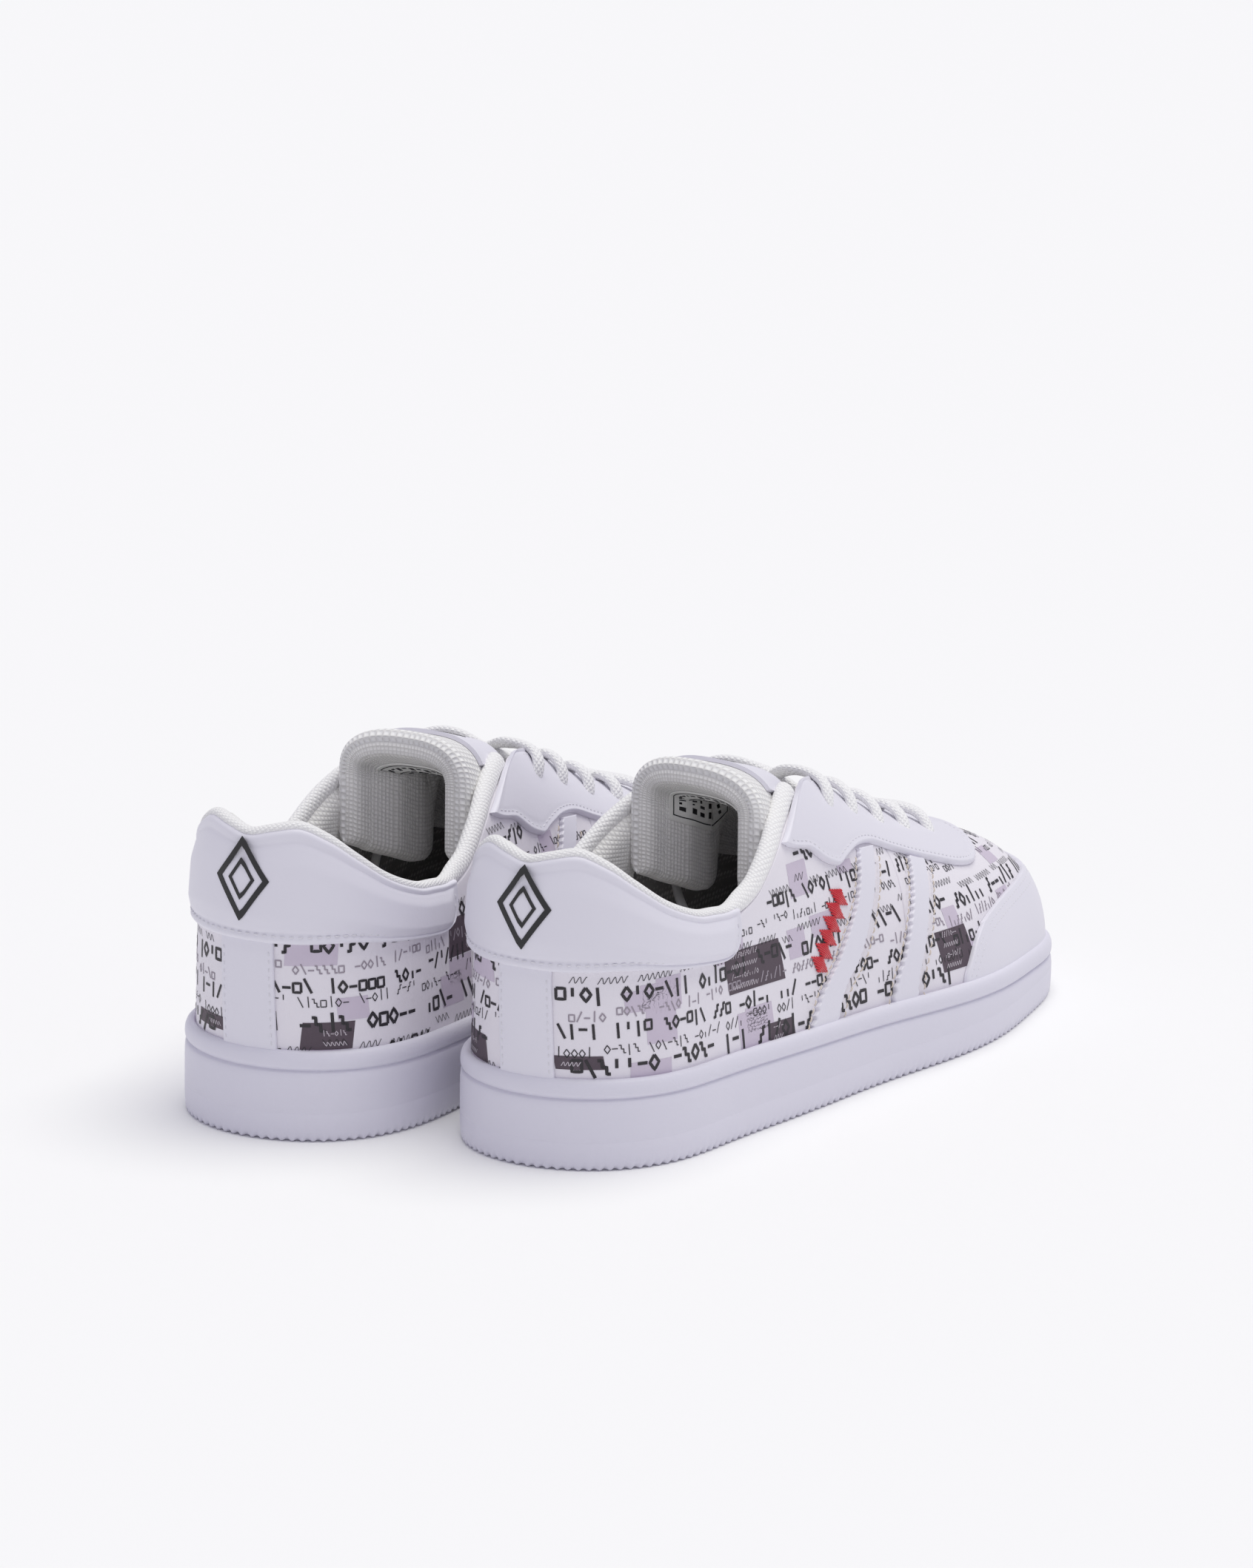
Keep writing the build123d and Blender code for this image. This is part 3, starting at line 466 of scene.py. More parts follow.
def two_colors(tree, shader, share, *stops):
    """Base colour that goes from one stop to the other; a stop is a place and a colour."""
    ramp = add_node(tree, "ShaderNodeValToRGB", share)
    for element, (position, color) in zip(ramp.color_ramp.elements, stops):
        element.position, element.color = position, (*color, 1)
    tree.links.new(ramp.outputs["Color"], shader.inputs["Base Color"])


def grained(name, color, roughness, scale, depth, sheen=0.0):
    material, tree, shader = new_material(name, color, roughness)
    shader.inputs["Sheen Weight"].default_value = sheen
    add_bump(tree, shader, noise_height(tree, scale), depth, 0.6)
    return material


def woven(name, color, roughness, pitch, depth, sheen=0.3, dark=None, slant=0.0):
    """Fabric of small raised cells, laid out in millimetres on the piece's UV map. A second colour,
    where given, fills the low lines between the cells: painted shade in the grooves on the white meshes
    and knit, pale dots on the insole.
    """
    material, tree, shader = new_material(name, color, roughness)
    shader.inputs["Sheen Weight"].default_value = sheen
    turn = add_node(tree, "ShaderNodeMapping", coordinates(tree, "UV"), Rotation=(0, 0, slant))
    split = add_node(tree, "ShaderNodeSeparateXYZ", turn.outputs["Vector"])

    def sum_of(operation, *terms):
        return add_node(tree, "ShaderNodeMath", *terms, operation=operation).outputs[0]
    per_cell = math.pi * 100 / pitch
    waves = [sum_of("SINE", sum_of("MULTIPLY", split.outputs[axis], per_cell)) for axis in "XY"]
    size = sum_of("ABSOLUTE", sum_of("MULTIPLY", *waves))
    # The second colour follows the low lines of the bump between the cells. On the white meshes and knit
    # it is darker: painted shade in the weave's grooves. On the insole it is paler and makes its dots.
    if dark is not None:
        two_colors(tree, shader, size, (0.05, dark), (0.45, color))
    add_bump(tree, shader, size, depth, 0.8)
    return material


WHITE_SYNTHETIC = grained("white_synthetic_look", (0.79, 0.775, 0.85), 0.45, 900, 0.00006)
RUBBER = grained("white_rubber_look", (0.745, 0.73, 0.82), 0.5, 1500, 0.0001)
TEXTILE = grained("printed_textile_look", (0.83, 0.80, 0.855), 0.55, 1600, 0.00006)
INK = grained("black_ink", (0.02, 0.017, 0.022), 0.5, 900, 0.00003)
GREY_INK = grained("grey_ink", (0.34, 0.30, 0.35), 0.55, 900, 0.00003)
PLUM_INK = grained("plum_ink", (0.085, 0.060, 0.080), 0.55, 900, 0.00003)
MAUVE_INK = grained("mauve_ink", (0.62, 0.55, 0.66), 0.55, 900, 0.00003)
PALE_INK = grained("pale_ink", (0.55, 0.50, 0.55), 0.55, 900, 0.00003)
BLACK = grained("black_emblem", (0.012, 0.012, 0.014), 0.4, 700, 0.00004)
# Stitching thread is a grey-lavender, darker than the white panels it sews. This is painted shade,
# standing in for the small shadows that make the stitches show as darker dashes.
THREAD_WITH_PAINTED_SHADE = grained("white_thread_painted_shade", (0.74, 0.73, 0.78), 0.6, 2500, 0.00005, 0.3)
BEIGE_THREAD = grained("beige_thread", (0.66, 0.58, 0.50), 0.6, 2500, 0.00005, 0.3)
RED_THREAD = grained("red_thread", (0.62, 0.015, 0.03), 0.35, 3000, 0.0001, 0.3)
# The darker second colours of the waffle mesh, fine mesh and knit are painted shade in the grooves
# between their cells.
WAFFLE = woven("waffle_mesh", (0.95, 0.945, 0.94), 0.85, 1.9, 0.0006, dark=(0.78, 0.77, 0.76))
FINE_MESH = woven("fine_mesh", (0.93, 0.92, 0.905), 0.85, 1.2, 0.0003, dark=(0.76, 0.75, 0.73))
KNIT = woven("collar_knit", (0.95, 0.945, 0.945), 0.85, 1.1, 0.00025, dark=(0.86, 0.85, 0.85), slant=0.5)
BRAID = woven("lace_braid", (0.95, 0.945, 0.95), 0.8, 1.1, 0.0003, slant=math.pi / 4)
INSOLE = woven("insole_mesh", (0.30, 0.295, 0.295), 0.8, 1.6, 0.0003, dark=(0.52, 0.51, 0.50))
LABEL = woven("label_tape", (0.84, 0.84, 0.81), 0.7, 0.5, 0.00005)
AGLET = grained("aglet_film", (0.85, 0.85, 0.88), 0.2, 500, 0.00002)


# ---------------------------------------------------------------- camera
def aim_camera():
    """Looks from behind and outside the right shoe, a little above it."""
    turn, tilt, roll = math.radians(30.572), math.radians(15.157), math.radians(0.607)
    look = Vector((math.cos(turn) * math.cos(tilt), math.sin(turn) * math.cos(tilt), -math.sin(tilt)))
    right = look.cross(Vector((0, 0, 1))).normalized()
    up = right.cross(look)
    across_view = right * math.cos(roll) + up * math.sin(roll)
    up_view = up * math.cos(roll) - right * math.sin(roll)
    data = bpy.data.cameras.new("camera")
    data.sensor_fit, data.sensor_width, data.lens = "HORIZONTAL", 36.0, 461.64
    data.clip_start, data.clip_end = 0.1, 60.0
    camera = new_object("camera", data)
    turned = Matrix((across_view, up_view, -look)).transposed().to_4x4()
    camera.matrix_world = Matrix.Translation((-3.81254, -2.25444, 1.27735)) @ turned
    bpy.context.scene.camera = camera


# ---------------------------------------------------------------- helpers for pieces
SIDES = ("right", "left")


def put(name, shape, materials, nodes=(), part="shoe", bend=False, padded=None, **extra):
    """Adds a piece to both shoes, in place of the CAD nodes that it details."""
    for side in SIDES:
        points, faces, uv = shape
        obj = add_mesh(name + "_look", side, points, faces, materials, uv, **extra)
        if bend:
            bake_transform(obj)
        else:
            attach(obj, side + "_" + part)
        if nodes:
            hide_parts(*[side + "_" + n for n in nodes])


class Batch:
    """Many small shapes gathered into one mesh."""

    def __init__(self):
        self.points, self.faces, self.slots, self.uv, self.count = [], [], [], [], 0

    def add(self, points, faces, uv=None, slot=0):
        points = np.asarray(points, float).reshape(-1, 3)
        self.points.append(points)
        self.faces += [[i + self.count for i in f] for f in faces]
        self.slots += [slot] * len(faces)
        self.uv.append(np.zeros((len(points), 2)) if uv is None else np.asarray(uv, float))
        self.count += len(points)

    def shape(self):
        return np.concatenate(self.points), self.faces, np.concatenate(self.uv)


class Skin:
    """Outer surface unrolled: arc along the base, girth up from it, both in millimetres."""

    def __init__(self):
        self.arcs = np.arange(-MEDIAL.length, ALL_ROUND, 1.0)
        self.angles = np.linspace(0, HALF_PI, 90)
        points = surface(self.arcs[:, None], self.angles[None])
        steps = np.linalg.norm(np.diff(points, axis=1), axis=-1)
        self.table = np.concatenate([np.zeros((len(self.arcs), 1)), np.cumsum(steps, 1)], 1)
        self.girths = np.arange(0, 140, 1.0)
        self.inverse = np.array([np.interp(self.girths, row, self.angles) for row in self.table])

    def look_up(self, table, u, v):
        u = np.clip(u, 0, table.shape[0] - 1.001)
        v = np.clip(v, 0, table.shape[1] - 1.001)
        i, j = u.astype(int), v.astype(int)
        a, b = u - i, v - j
        low = table[i, j] * (1 - b) + table[i, j + 1] * b
        return low * (1 - a) + (table[i + 1, j] * (1 - b) + table[i + 1, j + 1] * b) * a

    def place(self, flat):
        """x, y and z of flat places."""
        return surface(flat[:, 0], self.angle(flat[:, 0], flat[:, 1])).T

    def girth(self, arc, angle):
        return self.look_up(self.table, np.asarray(arc, float) - self.arcs[0],
                            np.asarray(angle, float) / HALF_PI * 89)

    def angle(self, arc, girth):
        return self.look_up(self.inverse, np.asarray(arc, float) - self.arcs[0],
                            np.asarray(girth, float))


skin = Skin()


def even_line(edge, step=1.0):
    """An edge given in (arc, angle), as closely spaced (arc, girth) points."""
    line = along(edge, np.linspace(0, 1, 200))
    flat = np.stack([line[:, 0], skin.girth(line[:, 0], line[:, 1])], -1)
    run = distances(flat)
    s = np.linspace(0, run[-1], max(int(run[-1] / step), 3))
    return np.stack([np.interp(s, run, flat[:, k]) for k in (0, 1)], -1)


def moved_line(flat, distance, trim=2.0):
    """A flat line moved to its left, with its ends trimmed."""
    way = unit(np.gradient(flat, axis=0))
    out = flat + np.stack([-way[:, 1], way[:, 0]], -1) * distance
    keep = max(int(trim), 1)
    return out[keep:-keep]


SMALL_STITCH, MEDIUM_STITCH = (2.2, 1.6, 0.22), (2.4, 1.7, 0.22)      # pitch, length, radius


def stitches(batch, flat, offset, pitch=2.6, length=1.9, radius=0.28):
    """Row of stitches along a flat line; each dips into the material at both ends."""
    place, normal = layer(flat[:, 0], skin.angle(flat[:, 0], flat[:, 1]), offset)
    run = distances(place)
    sides = np.linspace(0, 2 * math.pi, 6, endpoint=False)
    faces = []
    for r in range(4):
        for k in range(6):
            faces.append([r * 6 + k, r * 6 + (k + 1) % 6, (r + 1) * 6 + (k + 1) % 6, (r + 1) * 6 + k])
    faces += [[5, 4, 3, 2, 1, 0], [24, 25, 26, 27, 28, 29]]
    for k in range(int(run[-1] / pitch)):
        s = (k + 0.5) * pitch + np.linspace(-0.5, 0.5, 5) * length
        p = np.stack([np.interp(s, run, place[:, c]) for c in range(3)], -1)
        n = np.stack([np.interp(s, run, normal[:, c]) for c in range(3)], -1)
        side = unit(np.cross(np.gradient(p, axis=0), n))
        p = p + n * (radius * np.array([-1.0, 0.15, 0.4, 0.15, -1.0]))[:, None]
        wide = radius * np.array([0.55, 1.0, 1.0, 1.0, 0.55])
        ring = p[:, None] + wide[:, None, None] * (
            np.cos(sides)[None, :, None] * n[:, None] + np.sin(sides)[None, :, None] * side[:, None])
        batch.add(ring, faces)


def tube_rings(batch, path, up, half_wide, half_thick, step=0.8, ring_count=16, closed_ends=True,
               slot=0):
    """Oval tube along a path; up gives the thin direction at each path point."""
    run = distances(path)
    s = np.linspace(0, run[-1], max(int(run[-1] / step), 4))
    p = np.stack([spline(run, path[:, c])(s) if len(run) > 2 else np.interp(s, run, path[:, c])
                  for c in range(3)], -1)
    n = np.stack([np.interp(s, run, up[:, c]) for c in range(3)], -1)
    way = unit(np.gradient(p, axis=0))
    n = unit(n - way * (n * way).sum(1, keepdims=True))
    side = np.cross(way, n)
    turn = np.linspace(0, 2 * math.pi, ring_count + 1)
    wide, thick = (np.interp(s, run, np.broadcast_to(h, run.shape))[:, None, None]
                   for h in (half_wide, half_thick))
    ring = p[:, None] + wide * np.cos(turn)[None, :, None] * side[:, None] \
        + thick * np.sin(turn)[None, :, None] * n[:, None]
    around = turn * float(np.mean(wide + thick)) / 2
    uv = np.stack(np.broadcast_arrays(s[:, None], around[None]), -1).reshape(-1, 2) / 100
    faces = quads(len(s), ring_count + 1)
    if closed_ends:
        last = (len(s) - 1) * (ring_count + 1)
        faces += [list(range(ring_count)), [last + k for k in range(ring_count)][::-1]]
    batch.add(ring, faces, uv, slot)


def sew(batch, edge, gap, trim, offset, *size):
    """Stitches along an edge, a gap to its left."""
    stitches(batch, moved_line(even_line(edge), gap, trim), offset, *size)


# ---------------------------------------------------------------- sole
def ring_at(inset, count=621):
    """Closed ring of plan points round the sole, inset from its outline."""
    halves = [half_outline(w, inset, count) for w in (LATERAL_WIDTH, MEDIAL_WIDTH)]
    lateral, medial = halves[0] * [1, -1], halves[1]
    return np.concatenate([lateral, medial[::-1][1:-1]])


CUP_PROFILE = [  # (inset, share of local lip height, height above that in mm, share of scallop)
    (3.0, 0.0, 1.5, 0.0), (2.4, 0.0, 0.0, 0.0), (1.0, 0.0, 0.0, 1.0), (0.45, 0.0, 0.5, 1.0),
    (0.2, 0.0, 1.6, 0.5), (0.12, 0.0, 3.0, 0.0), (0.0, 0.0, 5.5, 0.0), (0.0, 0.0, 8.1, 0.0),
    (0.07, 0.0, 8.35, 0.0), (0.0, 0.0, 8.6, 0.0), (0.0, 1.0, -8.5, 0.0), (0.15, 1.0, -6.8, 0.0),
    (0.5, 1.0, -6.2, 0.0), (1.1, 1.0, -5.75, 0.0), (0.95, 1.0, -5.4, 0.0), (0.4, 1.0, -5.1, 0.0),
    (0.1, 1.0, -4.5, 0.0), (0.0, 1.0, -3.4, 0.0), (0.1, 1.0, -2.2, 0.0), (0.5, 1.0, -1.1, 0.0),
    (1.15, 1.0, -0.4, 0.0), (1.9, 1.0, -0.1, 0.0), (2.6, 1.0, -0.25, 0.0), (3.1, 1.0, -0.8, 0.0),
    (3.3, 1.0, -2.5, 0.0), (3.4, 1.0, -7.5, 0.0), (3.4, 0.0, 5.0, 0.0)]


def cup_wall():
    """Side wall of the sole unit with its scalloped foot, parting line, groove and lip."""
    base, inner = ring_at(0.0), ring_at(1.0)
    run = distances(base)
    scallop = 0.5 + 0.5 * np.cos(run / run[-1] * 2 * math.pi * round(run[-1] / 3.1))
    top = lip_top(base[:, 0])
    rows = []
    for inset, share, rise, cut in CUP_PROFILE:
        plan = base + (inner - base) * (inset + 0.4 + cut * 0.35 * scallop)[:, None]
        rows.append(np.column_stack([plan, share * top + rise + cut * 0.75 * scallop]))
    first, last = rows[0].copy(), rows[-1].copy()
    for row in (first, last):
        row[:, 0] = np.clip(row[:, 0], 32, 228)
        row[:, 1] = 0
    grid = np.stack([first] + rows + [last])
    grid = np.concatenate([grid, grid[:, :1]], 1)
    uv = np.stack(np.broadcast_arrays(np.append(run, run[-1] + 0.5)[None], grid[..., 2]), -1)
    return grid.reshape(-1, 3), quads(*grid.shape[:2]), uv.reshape(-1, 2) / 100


def tread_bars(batch):
    """Zigzag bars across the underside."""
    outline = [np.array(half_outline(w, 3.4)) for w in (LATERAL_WIDTH, MEDIAL_WIDTH)]
    for x in np.arange(10, LENGTH - 10, 7.0):
        reach = [float(min(np.interp((x, x + 6.2), o[:, 0], o[:, 1], right=0.0))) for o in outline]
        y = np.arange(-reach[0] + 1, reach[1] - 1, 1.5)
        zigzag = 2.0 * np.abs((y / 12.0) % 1 - 0.5) * 2
        rows = [np.column_stack([x + zigzag + dx, y, np.full(len(y), z)])
                for dx, z in ((0.4, 1.7), (0.0, 0.02), (4.2, 0.02), (3.8, 1.7))]
        grid = np.stack(rows)
        n = len(y)
        batch.add(grid, quads(4, n) + [[0, n, 2 * n, 3 * n], [n - 1, 4 * n - 1, 3 * n - 1, 2 * n - 1]])


def cupsole():
    batch = Batch()
    points, faces, uv = cup_wall()
    batch.add(points, faces, uv)
    tread_bars(batch)
    put("cupsole", batch.shape(), RUBBER, ["cupsole"], sharp=50)


def sockliner():
    """Dark mesh insole: its plan rows run across the shoe."""
    outline = [np.array(half_outline(w, 10.6)) for w in (LATERAL_WIDTH, MEDIAL_WIDTH)]
    x = outline[0][:, 0].min() + (1 - np.cos(np.linspace(0, math.pi, 90))) / 2 \
        * (outline[0][:, 0].max() - outline[0][:, 0].min())
    low = -np.interp(x, outline[0][:, 0], outline[0][:, 1])
    high = np.interp(x, outline[1][:, 0], outline[1][:, 1])
    g = ticks(20, 0.02)
    y = low[:, None] * (1 - g) + high[:, None] * g
    edge = np.minimum(y - low[:, None], high[:, None] - y)
    x2 = np.broadcast_to(x[:, None], y.shape)
    z = upper_base(x2) + 3.6 - rounded(edge, 1.2, 1.0)
    outer = np.stack([x2, y, z], -1)
    inner = np.stack([x2, y, upper_base(x2) + 0.1], -1)
    points, faces = shell(outer, inner)
    put("sockliner", (points, faces, points[:, :2] / 100), INSOLE, ["sockliner"])


# ---------------------------------------------------------------- printed upper
def root(arc):
    return upper_base(float(surface(arc, 0.0)[0])) + 0.15


def heel_points(arcs, tops, drop, sign=1):
    return [(sign * a, angle_at(sign * a + 0.2 * sign, z - drop)) for a, z in zip(arcs, tops)]


def full_top(drop, x_end):
    """Collar edge from the medial front corner round the heel to the lateral one."""
    xs = [x for x in TOPLINE_X[4:] if x <= x_end]
    if xs[-1] < x_end:
        xs.append(x_end)
    lateral = [at(LATERAL, x, topline(x) - drop) for x in xs]
    medial = [at(MEDIAL, x, topline(x) - drop) for x in xs]
    return medial[::-1] + heel_points(HEEL_ARCS[1:], HEEL_TOPS[1:], drop, -1)[::-1] \
        + heel_points(HEEL_ARCS, HEEL_TOPS, drop) + lateral


def quarter(half):
    sign = 1 if half is LATERAL else -1
    heel = heel_points([0.25] + HEEL_ARCS[1:], HEEL_TOPS, PANEL_DROP, sign)
    side = [at(half, x, topline(x) - PANEL_DROP) for x in TOPLINE_X[4:-1]]
    side.append(at(half, 110, topline(110) - PANEL_DROP - 0.4))
    throat = [across(half, x, throat_half(x) + 0.6) for x in (117, 124, 136)]
    throat.append(across(half, SEAM_TOP, THROAT_HALF))
    top = heel + side + throat
    foot = at(half, SEAM_FOOT, upper_base(SEAM_FOOT) + 0.15)
    low = [(sign * a, angle_at(sign * a, root(sign * a)))
           for a in np.linspace(0.25, abs(foot[0]), len(top))]
    seam = [foot, at(half, 145, 44), at(half, SEAM_TOP, 62), top[-1]]
    return panel(low, top, (-1.2, 0.0), 90, 30, end=seam, radius=0.6)


def throat_edge(half, xs):
    return [across(half, x, throat_half(x)) for x in xs] + [
        across(half, 184, THROAT_HALF - 0.6), across(half, 191, THROAT_HALF - 3.0),
        (side_arc(half, THROAT_END), HALF_PI)]


def tip_arc(half):
    return half.length if half is LATERAL else -half.length


def toe_line(half, angles, xs):
    return [(tip_arc(half), v) for v in angles] + [(side_arc(half, x), HALF_PI) for x in xs]


def vamp_edges(half):
    seam = [at(half, SEAM_FOOT + 0.3, root(side_arc(half, SEAM_FOOT))), at(half, 145.3, 44),
            at(half, SEAM_TOP + 0.3, 62), across(half, SEAM_TOP + 0.3, THROAT_HALF)]
    low = [(a, angle_at(a, root(a))) for a in np.linspace(seam[0][0], tip_arc(half), 15)]
    centre = toe_line(half, (low[-1][1], 0.8, 1.3, HALF_PI), (236, 222, 208, THROAT_END))
    return low, throat_edge(half, (SEAM_TOP + 0.3, 165, 176)), seam, centre


def upper_panels():
    put("quarter_lateral", quarter(LATERAL), TEXTILE, ["quarter_lateral"])
    put("quarter_medial", quarter(MEDIAL), TEXTILE, ["quarter_medial"])
    put("vamp", wrap_panel(vamp_edges, (-1.2, 0.0), 50, 40, 0.6), TEXTILE, ["vamp"])


# ---------------------------------------------------------------- overlays
def heel_patch_low(half):
    """Lower edge of the heel patch on one side, from the heel forward, as (x, z)."""
    return [at(half, x, z) for x, z in ((8, 57.3), (16, 57.2), (28, 55.2), (39.5, 53.5), (50, 52.1),
                                        (56, 52.2), (60.0, 53.9))]


def heel_patch_edges():
    lateral, medial = heel_patch_low(LATERAL), heel_patch_low(MEDIAL)
    low = medial[::-1] + [(0.0, angle_at(0.0, 57.6))] + lateral
    top = full_top(0.8, 63)

    def front(half):
        return [at(half, 62.2, 56.6), at(half, 63.2, 60.5)]
    start = [low[0]] + front(MEDIAL) + [top[0]]
    end = [low[-1]] + front(LATERAL) + [top[-1]]
    return low, top, start, end


def heel_patch(thread):
    low, top, start, end = heel_patch_edges()

    def puff(distance):
        swell = np.clip((distance - 2.2) / 5, 0, 1)
        return 0.9 * swell * swell * (3 - 2 * swell) - 0.35 * np.exp(-((distance - 2.4) / 0.55) ** 2)
    put("heel_patch", panel(low, top, (0.1, 2.2), 150, 46, start, end, 1.1, puff),
        WHITE_SYNTHETIC, ["heel_patch"])
    for edge, gap, trim in ((low, 2.4, 3), (start, -2.4, 2), (end, 2.4, 2)):
        sew(thread, edge, gap, trim, 2.0)


def back_stay(thread):
    arcs = np.linspace(-8.7, 8.7, 7)
    low = [(a, angle_at(a, root(a))) for a in arcs]
    top = [(a, angle_at(a, 58.4)) for a in arcs]
    put("back_stay", panel(low, top, (0.1, 1.1), 24, 30, radius=0.5), WHITE_SYNTHETIC, ["back_stay"])
    for sign in (-1, 1):
        edge = [(sign * 7.4, angle_at(sign * 7.4, z)) for z in (27, 42, 56)]
        stitches(thread, even_line(edge), 1.05, *MEDIUM_STITCH)


def facing_edges(half):
    throat = [at(half, 113.5, 86.6)] + throat_edge(half, (121, 134, 150, 166, 177))
    low = [at(half, x, z) for x, z in FACING_EDGE]
    low += [across(half, 216, 18), across(half, 221, 9), (side_arc(half, 222.5), HALF_PI)]
    centre = [low[-1], (side_arc(half, 210), HALF_PI), throat[-1]]
    return low, throat, [low[0], throat[0]], centre


def lace_facing(thread):
    def puff(distance):
        rim = np.exp(-((distance - 0.9) / 0.7) ** 2)
        return 0.3 * rim - 0.2 * np.exp(-((distance - 2.1) / 0.4) ** 2)
    put("lace_facing", wrap_panel(facing_edges, (0.1, 1.5), 90, 26, 0.9, puff),
        WHITE_SYNTHETIC, ["lace_facing"])
    for half, sign in ((LATERAL, 1), (MEDIAL, -1)):
        low, throat, _, _ = facing_edges(half)
        sew(thread, low[:-1], sign * 2.1, 2, 1.3, *SMALL_STITCH)
        sew(thread, throat[1:5], -sign * 2.0, 2, 1.35, *MEDIUM_STITCH)


def toe_cap(thread):
    medial = [(ALL_ROUND + a, v) for a, v in (at(MEDIAL, x, z) for x, z in TOE_CAP_EDGE)]
    tip = (LATERAL.length, angle_at(LATERAL.length, TOE_CAP_EDGE[-1][1] + 0.6))
    top = [at(LATERAL, x, z) for x, z in TOE_CAP_EDGE] + [tip] + medial[::-1]
    foot = side_arc(LATERAL, 167.5), ALL_ROUND + side_arc(MEDIAL, 167.5)
    low = [(a, angle_at(a, root(a))) for a in np.linspace(foot[0], foot[1], len(top))]

    def rear(half, shift):
        return [(shift + a, v) for a, v in (at(half, 168.8, 22.0), at(half, 172.2, 26.0),
                                            at(half, 177.8, 30.9))]
    start = [low[0]] + rear(LATERAL, 0) + [top[0]]
    end = [low[-1]] + rear(MEDIAL, ALL_ROUND) + [top[-1]]
    put("toe_cap", panel(low, top, (0.1, 1.5), 150, 26, start, end, 0.8), WHITE_SYNTHETIC, ["toe_cap"])
    for gap in (1.8, 4.0):
        for edge, way, trim in ((top, -gap, 1), (start, -gap, 2), (end, gap, 2)):
            sew(thread, edge, way, trim, 1.35, *SMALL_STITCH)


def stripe(half, edges):
    """Raised stripe with pinked long edges."""
    low, high = [[at(half, x, z or upper_base(x) + 0.2) for x, z in edge] for edge in edges]
    f, g = np.linspace(0, 1, 220), ticks(6, 0.1)
    where = coons(low, high, *ends(low, high), f, g)
    middle = where[:, len(g) // 2][:, None]
    size = grid_lengths(layer(where[..., 0], where[..., 1], 0.0)[0])
    teeth = np.abs((f * size[0] / 2.3) % 1 - 0.5) * 2
    where = middle + (where - middle) * (1 - 1.3 / size[1] * teeth)[:, None, None]
    return finish_panel(where, f, g, size, (0.1, 1.4), 0.6, None), low, high


def stripes(half, name, beige):
    batch = Batch()
    for edges in STRIPES:
        (points, faces, uv), low, high = stripe(half, edges)
        batch.add(points, faces, uv)
        inward = 1 if half is LATERAL else -1
        for edge, sign in ((low, 1), (high, -1)):
            sew(beige, edge, sign * inward * 2.0, 2, 1.3, 2.5, 1.8, 0.24)
    put(name, batch.shape(), WHITE_SYNTHETIC, [name])


EMBLEM_X, EMBLEM_Z = 0.5, 75.5
EMBLEM_DIAMONDS = ((8.5, 12.0, 1.5), (4.2, 6.0, 0.9))       # half width, half height, bar


def emblem():
    """Outlined diamond on the back of the heel."""
    batch = Batch()

    def ring(w, h):
        f = np.linspace(0, 1, 9)[:-1]
        corners = [(w, 0), (0, h), (-w, 0), (0, -h)]
        out = []
        for a, b in zip(corners, corners[1:] + corners[:1]):
            out += [(a[0] + (b[0] - a[0]) * t, a[1] + (b[1] - a[1]) * t) for t in f]
        return np.array(out + out[:1])
    for w, h, bar in EMBLEM_DIAMONDS:
        outer, inner = ring(w, h), ring(w - bar * 1.25, h - bar * 1.75)
        flat = np.stack([outer, inner], 1) + [EMBLEM_X, 0]
        angle = np.array([[angle_at(a, EMBLEM_Z + z) for a, z in pair] for pair in flat])
        rows = [layer(flat[..., 0], angle, offset)[0] for offset in (3.0, 3.35)]
        points, faces = shell(rows[1], rows[0])
        batch.add(points, faces)
    put("heel_emblem", batch.shape(), BLACK, ["heel_emblem"])


SIDE_MARK_START, SIDE_MARK_STEP = (100.6, 40.6), (2.9, 3.2)


def side_mark():
    """Row of satin-stitched diamonds slanting up the lateral side."""
    batch = Batch()
    for i in range(6):
        x, z = (a + step * i for a, step in zip(SIDE_MARK_START, SIDE_MARK_STEP))
        for t in np.linspace(-1, 1, 9):
            reach = 4.2 * (1 - abs(t)) + 0.5
            cross = [(x + t * 1.4 + 0.75 * u * reach, z + t * 1.6 - 0.62 * u * reach)
                     for u in (-1, -0.3, 0.3, 1)]
            place = np.array([at(LATERAL, *p) for p in cross])
            path, up = layer(place[:, 0], place[:, 1], np.array([0.15, 0.7, 0.7, 0.15]))
            tube_rings(batch, path, up, 0.3, 0.28, 0.7, 6)
    put("side_mark", batch.shape(), RED_THREAD, ["side_mark"])


# ---------------------------------------------------------------- collar
def collar_binding():
    """Rolled edge round the foot opening: thin above the heel patch, a wide knit band ahead."""
    edge = along(full_top(0.4, 110.5), np.linspace(0, 1, 240))
    share = ease(np.clip((surface(edge[:, 0], edge[:, 1])[:, 0] - 55) / 14, 0, 1))
    path, normal = layer(edge[:, 0], edge[:, 1], -0.4 - 1.5 * share)
    batch = Batch()
    tube_rings(batch, path, normal, 1.5 + 1.7 * share, 1.9 + 0.5 * share, 1.2, 24)
    put("collar_binding", batch.shape(), KNIT, ["collar_binding"])


